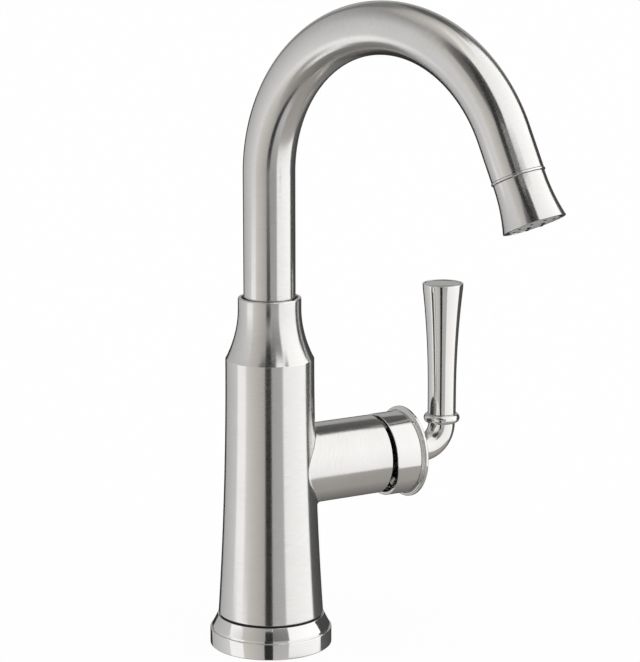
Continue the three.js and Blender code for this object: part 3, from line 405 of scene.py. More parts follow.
def handling_marks():
    """Faint patches where hands and water have dulled a surface."""
    tree, come, go = group("Handling marks", [("Scale", "NodeSocketFloat", 38.0)],
                           [("Marks", "NodeSocketFloat")])
    w = Wiring(tree)
    place = w.node("ShaderNodeTexCoord")
    broad = w.node("ShaderNodeTexNoise", {"Vector": place.outputs["Object"],
                                          "Scale": come.outputs["Scale"], "Detail": 4.0,
                                          "Roughness": 0.6, "Distortion": 0.4})
    w.put(go.inputs["Marks"], w.ramp(broad.outputs[0], [(0.35, 0.0), (0.72, 1.0)]))
    return tree


def solid_grain():
    """Drawn or moulded texture of the plain finishes, on Object coordinates."""
    tree, come, go = group("Solid grain", [
        ("Across", "NodeSocketFloat", 900.0), ("Upright", "NodeSocketFloat", 900.0)],
        [("Grain", "NodeSocketFloat"), ("Cloud", "NodeSocketFloat")])
    w = Wiring(tree)
    place = w.node("ShaderNodeTexCoord")
    scale = w.node("ShaderNodeCombineXYZ", {0: come.outputs["Across"],
                                            1: come.outputs["Across"],
                                            2: come.outputs["Upright"]})
    point = w.node("ShaderNodeVectorMath", {0: place.outputs["Object"], 1: scale.outputs[0]},
                   operation="MULTIPLY")
    fine = w.node("ShaderNodeTexNoise", {"Vector": point.outputs[0], "Scale": 1.0,
                                         "Detail": 3.0, "Roughness": 0.6})
    cloud = w.node("ShaderNodeTexNoise", {"Vector": place.outputs["Object"],
                                          "Scale": 60.0, "Detail": 4.0})
    w.put(go.inputs["Grain"], fine.outputs[0])
    w.put(go.inputs["Cloud"], cloud.outputs[0])
    return tree


TURNED, WEAR, MARKS, SOLID = turned_grain(), edge_wear(), handling_marks(), solid_grain()
# the fine grain's share in the colours, the marks' share in the roughness, how much wear
# lightens and how much it smooths, and the grain's height in metres
GRAIN_SHARE, MARKS_SHARE, WEAR_LIGHTER, WEAR_SMOOTHER, GRAIN_HEIGHT = 0.7, 0.18, 1.12, 0.45, 4e-5


def finish(name, colour, darker, rough, metal, bump, along=5200.0, directional=0.0,
           wear=0.0, solid=None):
    """Material: grain and clouds vary the colour and the roughness (rough is low, high),
    and the grain's height gives the bump. A turned piece has rings, as many to a metre
    as along says, and wear lightens and smooths its rounded edges. A solid one has a
    grain on Object coordinates instead, given as (across, upright)."""
    material = bpy.data.materials.new(name)
    w = wiring_of(material)
    shader = w.node("ShaderNodeBsdfPrincipled")
    w.node("ShaderNodeOutputMaterial", {"Surface": shader.outputs[0]})
    shader.inputs["Metallic"].default_value = metal
    if solid:
        grain = w.node("ShaderNodeGroup", node_tree=SOLID)
        grain.inputs["Across"].default_value = solid[0]
        grain.inputs["Upright"].default_value = solid[1]
    else:
        grain = w.node("ShaderNodeGroup", node_tree=TURNED)
        grain.inputs["Along"].default_value = along
    marks = w.node("ShaderNodeGroup", node_tree=MARKS)
    depth = w.math("MULTIPLY_ADD", grain.outputs["Grain"], GRAIN_SHARE,
                   w.math("MULTIPLY", grain.outputs["Cloud"], 1 - GRAIN_SHARE))
    colours = w.mix(w.ramp(depth, [(0.3, 0.0), (0.7, 1.0)]), (*darker, 1), (*colour, 1))
    low, high = rough
    rougher = w.math("MULTIPLY_ADD", w.ramp(grain.outputs["Grain"], [(0.3, 1.0), (0.7, 0.0)]),
                     high - low, low)
    rougher = w.math("MULTIPLY_ADD", marks.outputs["Marks"],
                     MARKS_SHARE * (high - low) + 0.01, rougher)
    if wear:
        worn = w.node("ShaderNodeGroup", node_tree=WEAR)
        worn.inputs["Amount"].default_value = wear
        lighter = tuple(min(1.0, WEAR_LIGHTER * c) for c in colour)
        colours = w.mix(worn.outputs["Wear"], colours, (*lighter, 1))
        rougher = w.math("MULTIPLY", rougher, w.math("MULTIPLY_ADD", worn.outputs["Wear"],
                                                     -WEAR_SMOOTHER, 1.0))
    w.put(shader.inputs["Base Color"], colours)
    w.put(shader.inputs["Roughness"], rougher)
    if directional:
        shader.inputs["Anisotropic"].default_value = directional
        shader.inputs["Anisotropic Rotation"].default_value = 0.25
        tangent = w.node("ShaderNodeTangent", direction_type="UV_MAP", uv_map="turned")
        w.put(shader.inputs["Tangent"], tangent.outputs[0])
    raised = w.node("ShaderNodeBump", {"Height": grain.outputs["Grain"], "Strength": bump,
                                       "Distance": GRAIN_HEIGHT})
    w.put(shader.inputs["Normal"], raised.outputs[0])
    return material


brushed = finish("brushed nickel", (0.78, 0.77, 0.755), (0.70, 0.69, 0.675), (0.12, 0.22),
                 1.0, 0.06, directional=0.7, wear=0.6)
smooth = finish("smooth brushed nickel", (0.79, 0.78, 0.765), (0.73, 0.72, 0.705),
                (0.08, 0.15), 1.0, 0.04, along=6000.0, directional=0.6, wear=0.5)
polished = finish("fine brushed nickel", (0.80, 0.79, 0.775), (0.75, 0.74, 0.725),
                  (0.05, 0.11), 1.0, 0.02, along=7000.0, directional=0.4, wear=0.5)
black_ring = finish("black acetal, turned", (0.022, 0.022, 0.024), (0.012, 0.012, 0.013),
                    (0.38, 0.55), 0.0, 0.1, wear=0.3)
pale_plate = finish("pale moulded plate", (0.80, 0.80, 0.79), (0.70, 0.70, 0.69),
                    (0.24, 0.36), 0.0, 0.06)
rubber_ring = finish("black rubber, moulded", (0.022, 0.022, 0.023), (0.013, 0.013, 0.013),
                     (0.6, 0.8), 0.0, 0.2)
# one plain finish for each slot, for the clamp, the inlets and what nothing shows
plain = {
    "brass": finish("machined brass", (0.71, 0.54, 0.28), (0.60, 0.44, 0.21),
                    (0.28, 0.44), 1.0, 0.2, solid=(1400.0, 2600.0)),
    "copper": finish("drawn copper", (0.74, 0.43, 0.29), (0.62, 0.34, 0.22),
                     (0.24, 0.42), 1.0, 0.15, solid=(2400.0, 260.0)),
    "steel": finish("plain steel", (0.60, 0.60, 0.61), (0.50, 0.50, 0.51),
                    (0.26, 0.42), 1.0, 0.15, solid=(1500.0, 1500.0)),
    "black_rubber": finish("black rubber", (0.022, 0.022, 0.023), (0.013, 0.013, 0.013),
                           (0.6, 0.82), 0.0, 0.25, solid=(1800.0, 1800.0)),
    "black_plastic": finish("black plastic", (0.02, 0.02, 0.022), (0.012, 0.012, 0.013),
                            (0.35, 0.5), 0.0, 0.12, solid=(1500.0, 1500.0)),
    "white_plastic": finish("white plastic", (0.84, 0.83, 0.80), (0.78, 0.77, 0.73),
                            (0.38, 0.52), 0.0, 0.12, solid=(1500.0, 1500.0)),
    "grey_plastic": finish("grey plastic", (0.48, 0.49, 0.50), (0.41, 0.42, 0.43),
                           (0.4, 0.55), 0.0, 0.12, solid=(1500.0, 1500.0)),
    "ceramic": finish("lapped ceramic", (0.88, 0.86, 0.82), (0.83, 0.81, 0.76),
                      (0.12, 0.22), 0.0, 0.04, solid=(2500.0, 2500.0)),
    "brushed_nickel": finish("brushed nickel, hidden", (0.72, 0.71, 0.69), (0.62, 0.61, 0.59),
                             (0.18, 0.30), 1.0, 0.1, solid=(600.0, 4200.0)),
    "polished_nickel": finish("fine nickel, hidden", (0.76, 0.75, 0.735), (0.69, 0.68, 0.665),
                              (0.11, 0.19), 1.0, 0.06, solid=(600.0, 4200.0)),
}
for entry in frame["record"]["subparts"]:
    node = frame["nodes"][entry["node"]]
    node.data.materials.clear()
    node.data.materials.append(plain[entry["material_slot"]])

# ---------------- body

def column_radius(z):
    """Flared column: the top radius grows towards the foot by a power of the depth."""
    top = SHOULDER_Z - STEP
    down = np.clip((top - z) / (top - FOOT_Z), 0, None)
    return TOP_R + (FOOT_R - TOP_R) * down ** FLARE


def cove_radius(z):
    """Hollow curve from the shoulder in to the collar, flat where it meets the collar."""
    left = np.clip((SHOULDER_Z + COVE_H - z) / COVE_H, 0, None)
    return COLLAR_R + (TOP_R - STEP / 2 - COLLAR_R) * left ** 2


def walk(radius, low, high, count):
    """Profile pairs at even heights, with the radius a function of the height."""
    z = np.linspace(low, high, count)
    return [(float(r), float(h)) for r, h in zip(radius(z), z)]


BODY_SIDES = 160


def column():
    """Column, cove and collar as one turned wall, hollow with stepped bores."""
    foot = column_radius(FOOT_Z)
    profile, marks = rounded([
        (foot - WALL, FOOT_Z, 0.2), (foot, FOOT_Z, 0.55),
        *walk(column_radius, FOOT_Z + 1.6, SHOULDER_Z - 1.6, 60), (TOP_R, SHOULDER_Z, 0.7),
        *walk(cove_radius, SHOULDER_Z + 1.5, SHOULDER_Z + COVE_H, 36),
        (COLLAR_R, COLLAR_Z, LIP), (MOUTH_R, COLLAR_Z, 0.2), (MOUTH_R, MOUTH_Z),
        (HUB_R, MOUTH_Z), (HUB_R, HUB_Z), (THROAT_R, HUB_Z), (THROAT_R, THROAT_Z),
        (OUTLET_R, THROAT_Z), (OUTLET_R, HOLLOW_Z),
        *walk(lambda z: column_radius(z) - WALL, HOLLOW_Z, FOOT_Z + 1, 9)], 6)
    return turned(profile, UPRIGHT, BODY_SIDES), mark_rows(marks, BODY_SIDES)


def boss():
    """Barrel about +X at the boss height. A point on it is at angle a and distance x;
    near the column x starts on the column's surface, where the fillet, deeper
    underneath, grows the radius along a quarter circle."""
    a = np.linspace(0, 2 * PI, BODY_SIDES, endpoint=False)
    dy, dz = np.sin(a), -np.cos(a)
    fillet = FILLET + np.where(dz > 0, FILLET_ABOVE, FILLET_BELOW) * dz ** 2

    def ring(radius, x):
        """Row of points round the boss at a radius and a distance."""
        radius = np.broadcast_to(radius, a.shape)
        x = np.broadcast_to(x, a.shape)
        return np.stack([x, radius * dy, BOSS_Z + radius * dz], -1)

    def meeting(radius):
        """Distance at which a wall of that radius meets the column."""
        return np.sqrt(column_radius(BOSS_Z + radius * dz) ** 2 - (radius * dy) ** 2)

    sunk = 1.2
    rows = [ring(BOSS_R + fillet, meeting(BOSS_R + 0 * a) - sunk)]
    for beta in np.linspace(0, PI / 2, 9):
        radius = BOSS_R + fillet * (1 - math.sin(beta))
        rows.append(ring(radius, meeting(radius) + fillet * (1 - math.cos(beta))))
    start = rows[-1][:, 0]
    for t in np.linspace(0, 1, 22)[1:-1]:
        rows.append(ring(BOSS_R, start + (BOSS_END - 0.5 - start) * t))
    rim, rim_marks = rounded([
        (BOSS_R, BOSS_END - 2), (BOSS_R, BOSS_END, 0.4), (NUT_BORE_R, BOSS_END, 0.3),
        (NUT_BORE_R, NUT_BORE_X), (CARTRIDGE_R, NUT_BORE_X), (CARTRIDGE_R, CARTRIDGE_X)])
    marks = [0.0] * len(rows) + list(rim_marks[1:]) + [0.0]
    rows += [ring(radius, x) for radius, x in rim[1:]]
    rows.append(ring(BOSS_R - 1.5, CARTRIDGE_X))
    return skin(np.array(rows), True), mark_rows(marks, BODY_SIDES)


column_skin, column_edge = column()
boss_skin, boss_edge = boss()
shell = make("body_column", [column_skin], "body", brushed,
             ["body_shell"], edges=[column_edge])
BOSS_AXIS = axes_at((0, 0, BOSS_Z), (1, 0, 0), -Z)
LOCK_AXIS = axes_at((0, 0, LOCK_Z), (0, 1, 0), (1, 0, 0))
bored(shell, [rod(CARTRIDGE_R, 10, 30, BOSS_AXIS, 64), rod(LOCK_HOLE_R, 8, 30, LOCK_AXIS, 32)])
make("body_boss", [boss_skin], "body", brushed, ["body_shell"],
     edges=[boss_edge])


def lathe(name, corners, place, body, material, node, sides=128, closed=True):
    """Turned piece from rounded corners, standing for the node of that name."""
    profile, marks = rounded(corners)
    return make(name, [turned(profile, place, sides, closed)], body, material,
                [node], edges=[mark_rows(marks, sides)])


def base_slope():
    """Sloped side of the base ring above its step, very slightly hollow."""
    low = BASE_WALL + 1.1
    t = np.linspace(0, 1, 14)
    foot = BASE_R - BASE_STEP
    radius = foot + (FOOT_R + 0.4 - foot) * (1 - (1 - t) ** 1.1)
    return [(float(r), float(low + (BASE_Z - low) * s)) for r, s in zip(radius, t)]


slope = base_slope()
lathe("base_ring_turned", [
    (CLEAR_R, 0.0), (GROOVE_IN, 0.0), (GROOVE_IN, GROOVE_DEPTH), (GROOVE_OUT, GROOVE_DEPTH),
    (GROOVE_OUT, 0.0), (BASE_R, 0.0, 0.5), (BASE_R, BASE_WALL, 0.9),
    (BASE_R - BASE_STEP, BASE_WALL, 0.2), (*slope[0], 0.25), *slope[1:-1], (*slope[-1], 0.3),
    (CLEAR_R, BASE_Z)],
    UPRIGHT, "body", polished, "base_ring", BODY_SIDES)
lathe("body_seal_turned", [(SEAL_IN, SEAL_LOW), (SEAL_OUT, SEAL_LOW), (SEAL_OUT, SEAL_HIGH),
                           (SEAL_IN, SEAL_HIGH)],
      UPRIGHT, "body", rubber_ring, "body_seal")
lathe("spout_bushing_turned", [
    (HUB_R, BUSHING_LOW), (MOUTH_R, BUSHING_LOW), (MOUTH_R, BUSHING_HIGH, 0.2),
    (HUB_R, BUSHING_HIGH, 0.2)],
    UPRIGHT, "body", black_ring, "spout_bushing")

# ---------------- deck clamp and inlets

def threaded(before, crest, low, high, after, pitch, depth, place, sides=96, closed=True):
    """Turned piece with a thread between two heights. There the radius is the crest less
    depth times a wave of (height over pitch less the share of a turn), which falls and
    rises in straight flanks with flat crests and roots, and fades in over one pitch at
    each end. before and after are the plain parts of the profile, as (radius, height)."""
    steps = int(round(8 * (high - low) / pitch))
    height = np.linspace(low, high, steps + 1)
    pairs = np.concatenate([before, np.stack([0 * height + crest, height], 1), after])
    on = np.zeros(len(pairs))
    on[len(before):len(before) + len(height)] = (np.clip((height - low) / pitch, 0, 1)
                                                 * np.clip((high - height) / pitch, 0, 1))
    a = np.linspace(0, 2 * PI, sides, endpoint=False)
    phase = (pairs[:, 1, None] / pitch - a[None, :] / (2 * PI)) % 1.0
    wave = np.clip(1.35 * (1 - np.abs(2 * phase - 1)) - 0.15, 0, 1)
    radius = pairs[:, 0, None] - depth * wave * on[:, None]
    return round_wall(place, radius, pairs[:, 1], closed)


def shank():
    """Threaded tube through the deck, under the flange that it hangs from."""
    foot = [(SHANK_BORE_R, SHANK_FLANGE_HIGH), (SHANK_BORE_R, SHANK_END + 0.5),
            (SHANK_BORE_R + 0.5, SHANK_END), (SHANK_R - 1.0, SHANK_END)]
    head = [(SHANK_R, BASE_Z), (SHANK_R, SHANK_FLANGE_LOW),
            (SHANK_FLANGE_R - 0.4, SHANK_FLANGE_LOW),
            (SHANK_FLANGE_R, SHANK_FLANGE_LOW + 0.4),
            (SHANK_FLANGE_R, SHANK_FLANGE_HIGH - 0.4),
            (SHANK_FLANGE_R - 0.4, SHANK_FLANGE_HIGH)]
    return threaded(foot, SHANK_R, SHANK_END + 1.0, -5.0, head, 2.0, 1.1, UPRIGHT, 108)


def washer(name, slot, high, thick, edge):
    """Flat round washer under the deck, with its edges rounded."""
    low = high - thick
    lathe(name + "_turned", [(CLEAR_R, low, edge), (WASHER_R, low, edge),
                             (WASHER_R, high, edge), (CLEAR_R, high, edge)],
          UPRIGHT, "body", plain[slot], name, 144)


def hexagon_nut():
    """Flanged hexagon nut as one wall. The hexagon's radius at an angle is half the
    width over the cosine of the angle from the nearest flat, and the chamfer's cone
    cuts it down near the low face."""
    low, flange_low = NUT_TOP - NUT_H, NUT_TOP - NUT_FLANGE_H
    a = np.linspace(0, 2 * PI, 144, endpoint=False)
    corner = NUT_FLAT / np.cos((a % (PI / 3)) - PI / 6)
    edge = 0.4
    rows = [(0 * a + CLEAR_R + edge, low), (0 * a + NUT_FLAT - edge, low)]
    rows += [(np.minimum(corner, NUT_FLAT - 0.1 + 1.75 * h), low + h)
             for h in np.linspace(0.1, 2.0, 12)]
    rows += [(np.minimum(corner, NUT_FLANGE_R - 0.3), h)
             for h in np.linspace(low + 3, flange_low, 3)]
    rows += [(0 * a + r, h) for r, h in (
        (NUT_FLANGE_R - 0.25, flange_low), (NUT_FLANGE_R, flange_low + 0.25),
        (NUT_FLANGE_R, NUT_TOP - edge), (NUT_FLANGE_R - edge, NUT_TOP),
        (CLEAR_R + edge, NUT_TOP), (CLEAR_R, NUT_TOP - edge), (CLEAR_R, low + edge))]
    radius = np.array([row[0] for row in rows])
    height = np.array([row[1] for row in rows])
    return round_wall(UPRIGHT, radius, height, True)


def jack_screw(number, place):
    """Threaded screw through the nut's flange, with a hexagon socket in its foot."""
    low = NUT_TOP - JACK_L
    thread = threaded([(0, low), (JACK_R - 0.4, low)], JACK_R, low + 0.5, NUT_TOP - 0.5,
                      [(JACK_R - 0.5, NUT_TOP), (0, NUT_TOP)], 0.8, 0.4, place, 48, False)
    screw = make(f"jack_screw_{number}_threaded", [thread], "body",
                 plain["steel"], [f"jack_screw_{number}"])
    bored(screw, [rod(SOCKET_R, low - 1, low + 3, place, 6)])


make("mounting_shank_threaded", [shank()], "body", plain["brass"],
     ["mounting_shank"])
washer("clamp_washer_rubber", "black_rubber", -DECK - GAP, RUBBER, 0.6)
washer("clamp_washer_steel", "steel", -DECK - RUBBER - 2 * GAP, STEEL, 0.3)
JACKS = [axes_at((JACK_CIRCLE * math.cos(t), JACK_CIRCLE * math.sin(t), 0), Z, (1, 0, 0))
         for t in np.radians([30, 150, 270])]
nut = make("mounting_nut_hexagon", [hexagon_nut()], "body", plain["brass"],
           ["mounting_nut"])
bored(nut, [rod(JACK_HOLE_R, NUT_TOP - NUT_H - 2, NUT_TOP + 1, jack, 40) for jack in JACKS])
for number, jack in enumerate(JACKS, 1):
    jack_screw(number, jack)


def inlet(side, y):
    """One inlet: a threaded nipple, open below, on the foot of a copper pipe."""
    place = axes_at((0, y, 0), Z, (1, 0, 0))
    bore = 3.3
    open_end = [(5.0, -84.7), (bore + 0.2, -84.8), (bore, PIPE_LOW), (bore, NIPPLE_LOW + 0.2),
                (bore + 0.2, NIPPLE_LOW), (4.9, NIPPLE_LOW)]
    shoulder = [(NIPPLE_R, NIPPLE_TOP - 1.0), (NIPPLE_R - 0.2, NIPPLE_TOP), (5.0, NIPPLE_TOP)]
    nipple = threaded(open_end, NIPPLE_R, NIPPLE_LOW + 0.6, NIPPLE_TOP - 2.0, shoulder,
                      1.0, 0.55, place, 64)
    make(side + "_inlet_threaded", [nipple], "body", plain["brass"],
         [side + "_supply_nipple"])
    lathe(side + "_inlet_pipe", [(PIPE_BORE_R, PIPE_LOW, 0.1), (PIPE_R, PIPE_LOW, 0.2),
                                 (PIPE_R, PIPE_TOP, 0.2), (PIPE_BORE_R, PIPE_TOP, 0.1)],
          place, "body", plain["copper"], side + "_supply_tube", 64)


inlet("hot", -INLET_Y)
inlet("cold", INLET_Y)

# ---------------- spout

NOSE_SIDES = 112


def spout_path():
    """Centre line up from the collar, round the bend and down the nose, with its two
    cross directions and the tube's radius, in the faucet's frame."""
    straight, bend, nose = 12, 150, 5
    forward = np.array([math.cos(HEADING), math.sin(HEADING), 0.0])
    sideways = np.array([-math.sin(HEADING), math.cos(HEADING), 0.0])
    swept = np.linspace(0, SWEEP, bend)
    drop = np.linspace(0.2, 1, nose) * NOSE_L
    turn = np.concatenate([np.zeros(straight), swept, np.full(nose, SWEEP)])
    ahead = np.concatenate([np.zeros(straight), BEND_R * (1 - np.cos(swept)),
                            BEND_R * (1 - math.cos(SWEEP)) + drop * math.sin(SWEEP)])
    height = np.concatenate([np.linspace(TUBE_FOOT, SPRING_Z - 1, straight),
                             SPRING_Z + BEND_R * np.sin(swept),
                             SPRING_Z + BEND_R * math.sin(SWEEP) + drop * math.cos(SWEEP)])
    centres = ahead[:, None] * forward + height[:, None] * Z
    across = np.cos(turn)[:, None] * forward - np.sin(turn)[:, None] * Z
    aside = np.broadcast_to(sideways, across.shape)
    return centres, across, aside, TUBE_R + (NOSE_R - TUBE_R) * turn / SWEEP


centres, across, aside, radii = spout_path()
there_and_back = [np.concatenate([part, part[::-1]]) for part in (centres, across, aside)]
tube_radii = np.concatenate([radii, radii[::-1] - TUBE_WALL])
make("spout_tube_bent", [carried(*there_and_back, tube_radii, True, NOSE_SIDES)],
     "spout", brushed, ["spout_tube"])
NOSE = axes_at(centres[-1], np.cross(across[-1], aside[-1]), across[-1])
lathe("seam_ring_turned", [
    (JOINER_R, SEAM_LOW), (NOSE_R, SEAM_LOW), (SEAM_R, SEAM_LOW + 0.25, 0.3),
    (SEAM_R, SEAM_HIGH - 0.25, 0.3), (NOSE_R, SEAM_HIGH), (JOINER_R, SEAM_HIGH)],
    NOSE, "spout", polished, "seam_ring", NOSE_SIDES)


def bell():
    """Flared outlet: radius grows with a power of the distance from the seam."""
    length = BELL_END - BELL_LOW
    flare = [(BELL_FOOT_R + (BELL_R - BELL_FOOT_R) * (x / length) ** BELL_FLARE, BELL_LOW + x)
             for x in np.linspace(0.5, length - 0.7, 26)]
    return [(JOINER_R, BELL_LOW), (BELL_FOOT_R, BELL_LOW, 0.25), *flare,
            (BELL_R, BELL_END, 0.55), (BELL_R - 1.5, BELL_END, 0.35), (BELL_R - 1.5, 20.3),
            (11.9, 20.3), (11.9, 11.6), (JOINER_R, 10.8)]


lathe("spout_bell_turned", bell(), NOSE, "spout", brushed,
      "spout_bell", NOSE_SIDES)
lathe("aerator_cup", [
    (9.0, CUP_LOW), (11.6, CUP_LOW), (11.6, 20.6), (12.9, 20.6), (12.9, CUP_END, 0.2),
    (12.0, CUP_END, 0.2), (12.0, 21.3), (10.3, 21.3), (10.3, CUP_LOW + 1.3),
    (9.0, CUP_LOW + 1.3)],
    NOSE, "spout", black_ring, "aerator_housing")


def aerator_plate():
    """Crowned plate with two circles of jets, each with a dark tip that stands out a
    little. The plate falls from its crown with the square of the radius."""
    crown = [(PLATE_R * t, CROWN - t ** 2) for t in np.linspace(0.95, 0.05, 12)]
    profile, marks = rounded([(0, PLATE_LOW), (PLATE_R, PLATE_LOW), (PLATE_R, PLATE_RIM, 0.2),
                              *crown, (0, CROWN)])
    plate = make("aerator_plate", [turned(profile, NOSE, 96, False)], "spout",
                 pale_plate, ["aerator_face"], edges=[mark_rows(marks, 96)])
    jets, tips = [], []
    for circle, count, out in ((4.68, 4, 0.45), (9.24, 9, 0.1)):
        tip = CROWN - (circle / PLATE_R) ** 2 + out
        for a in np.arange(count) * 2 * PI / count:
            at = NOSE[0] + circle * (math.cos(a) * NOSE[1][0] + math.sin(a) * NOSE[1][1])
            jets.append(rod(JET_R, PLATE_LOW - 1.6, CROWN + 1.8, (at, NOSE[1]), 20))
            tips.append(turned([(JET_BORE_R, tip - 1.4), (JET_TIP_R, tip - 1.4),
                                (JET_TIP_R, tip - 0.08), (JET_TIP_R - 0.08, tip),
                                (JET_BORE_R, tip)], (at, NOSE[1]), 20))
    bored(plate, jets)
    make("aerator_jet_tips", tips, "spout", black_ring)


aerator_plate()

# ---------------- handle

CAP_AXIS = axes_at((0, 0, CAP_Z), (1, 0, 0), -Z)
CAP_SIDES = 160


def cap():
    """Drum open at the back, with the stem's hub inside. Below the axis its rear rim
    steps forward in proportion to the depth, so the gap opens downwards."""
    hub, hole, spigot = 6.6, 4.2, 18.7
    profile, marks = rounded([
        (hole, 70.4), (hub, 70.4, 0.3), (hub, CAP_FLOOR), (16.9, CAP_FLOOR),
        (CAP_BORE_R, CAP_FLOOR - 2.4), (CAP_BORE_R, CAP_REAR + 1.0),
        (CAP_BORE_R, CAP_REAR, 0.35), (CAP_R, CAP_REAR, 0.35), (CAP_R, CAP_REAR + 1.2),
        (CAP_R, RELIEF_X), (CAP_R, CAP_FRONT, 0.2), (spigot, CAP_FRONT),
        (spigot, CAP_FACE, 0.2), (3.7, CAP_FACE), (3.7, CAP_FLOOR), (hole, CAP_FLOOR - 0.6)])
    points, quads, loops = turned(profile, CAP_AXIS, CAP_SIDES)
    below = np.clip((CAP_Z - points[:, 2]) / CAP_R, 0, None)
    near = np.clip((RELIEF_X - points[:, 0]) / (RELIEF_X - CAP_REAR), 0, 1)
    outer = np.hypot(points[:, 1], points[:, 2] - CAP_Z) > 15
    points[:, 0] += CAP_RELIEF * below * near * outer
    return (points, quads, loops), mark_rows(marks, CAP_SIDES)


cap_skin, cap_edge = cap()
cap_piece = make("handle_cap_turned", [cap_skin], "handle", smooth,
                 ["handle_cap"], edges=[cap_edge])
GRUB_AXIS = axes_at((GRUB_X, 0, CAP_Z), -Z, (1, 0, 0))
bored(cap_piece, [rod(GRUB_HOLE_R, 1.5, 24, GRUB_AXIS, 32)])
lathe("cap_flange_turned", [
    (19.0, CAP_FRONT + 0.1), (20.95, CAP_FRONT + 0.1), (21.5, 76.0, 0.5),
    (FLANGE_STEP_R, 76.15, 0.2), (FLANGE_STEP_R, 76.5), (FLANGE_R, 76.6, 0.5),
    (FLANGE_R, CAP_FACE, 0.8), (19.0, CAP_FACE)],
    CAP_AXIS, "handle", polished, "cap_flange", CAP_SIDES)


def bonnet():
    """Ring round the stem whose front is part of a sphere about the lever's pivot."""
    dome = [(math.sqrt(BONNET_R ** 2 - (x - PIVOT_X) ** 2), x)
            for x in np.linspace(BONNET_LOW, BONNET_HIGH, 9)]
    return [(16.9, BONNET_LOW), *dome, (12.1, BONNET_HIGH + 0.1, 0.3)]


# Painted shade: the dome is given the black finish so that the gap under the cap, where the ring
# lies in shadow, reads dark.
lathe("bonnet_dome_painted_shade", bonnet(), BOSS_AXIS, "body", black_ring, "bonnet_ring")


def elbow():
    """Bent round bar: straight out of the cap, a quarter circle and a short upright. A
    row without a radius closes each end."""
    corner = LEVER_X - ELBOW_BEND
    quarter = np.linspace(0, PI / 2, 44)
    turn = np.concatenate([np.zeros(6), quarter, [PI / 2]])
    x = np.concatenate([np.linspace(CAP_FACE + 0.1, corner - 0.4, 6),
                        corner + ELBOW_BEND * np.sin(quarter), [LEVER_X]])
    rise = np.concatenate([np.zeros(6), ELBOW_BEND * (1 - np.cos(quarter)), [ELBOW_TOP]])
    centres = np.stack([x, 0 * x, CAP_Z + rise], 1)
    up = np.stack([-np.sin(turn), 0 * turn, np.cos(turn)], 1)
    side = np.broadcast_to([0.0, 1.0, 0.0], up.shape)
    rows = [np.concatenate([part[:1], part, part[-1:]]) for part in (centres, up, side)]
    radius = np.concatenate([[0.0], np.full(len(turn), ELBOW_R), [0.0]])
    return carried(*rows, radius, False)


make("lever_elbow_bent", [elbow()], "handle", smooth, ["lever_elbow"])
GRIP_AXIS = axes_at((LEVER_X, 0, CAP_Z), Z, (1, 0, 0))


def bead():
    """Ring whose outer side is most of a half circle."""
    arc = [(BEAD_R + BEAD_ROUND * math.cos(a), BEAD_MID + BEAD_ROUND * math.sin(a))
           for a in np.linspace(-1.25, 1.25, 17)]
    low, high = BEAD_MID - BEAD_ROUND, BEAD_MID + BEAD_ROUND
    return [(STUD_R, low), (BEAD_R + 0.2, low), *arc, (BEAD_R + 0.2, high), (STUD_R, high)]


def grip():
    """Grip: straight for 9 mm, then its radius grows with a power of the height."""
    low, high = LEVER_LOW, LEVER_LOW + LEVER_L
    z = np.linspace(low + 9, high - 1.3, 30)
    t = (z - z[0]) / (z[-1] - z[0])
    side = list(zip(LEVER_FOOT + (LEVER_TOP - LEVER_FOOT) * t ** 2.1, z))
    return [(STUD_R, low), (LEVER_FOOT, low, 0.15), *side[:-1], (LEVER_TOP, high, 1.2),
            (BUTTON_R + 0.25, high, 0.2), (BUTTON_R + 0.25, high - 1.5), (STUD_R, high - 1.5)]


def button():
    """Shallow dome let into the end of the grip; it falls with the square of the radius."""
    top = LEVER_LOW + LEVER_L
    dome = [(BUTTON_R * (1 - t), top + BUTTON_CROWN * (1 - (1 - t) ** 2))
            for t in np.linspace(0, 1, 12)]
    return [(0, top - 1.3), (BUTTON_R, top - 1.3), (BUTTON_R, top - 0.1, 0.2), *dome[1:]]


lathe("lever_bead_turned", bead(), GRIP_AXIS, "handle", smooth,
      "lever_bead")
lathe("lever_grip_turned", grip(), GRIP_AXIS, "handle", polished,
      "lever_grip")
lathe("lever_button_turned", button(), GRIP_AXIS, "handle", polished,
      "lever_button", closed=False)

# ---------------- deck and studio

# the cards' middle height in metres; the deck's colour, its white and the white's share in
# what the camera sees; the world's level to the camera and to all other light
CARD_HEIGHT = 0.16
DECK_COLOUR, DECK_WHITE, DECK_SHARE = (0.86, 0.86, 0.86, 1), 1.085, 0.85
WHITE_LEVEL, LIGHT_LEVEL = 1.0, 0.55


def glow(name, colour):
    """Light of a card: its own level at each point, in one colour. It isn't sampled as
    a lamp, so it only shows in what reflects it."""
    material = bpy.data.materials.new(name)
    material.cycles.emission_sampling = "NONE"
    w = wiring_of(material)
    level = w.node("ShaderNodeAttribute", attribute_name="level")
    light = w.node("ShaderNodeEmission", {"Color": (*colour, 1),
                                          "Strength": level.outputs["Fac"]})
    w.node("ShaderNodeOutputMaterial", {"Surface": light.outputs[0]})
    return material


PLAIN_GLOW, WARM_GLOW = glow("card light", (1, 1, 1)), glow("warm card light", (1, 0.965, 0.92))


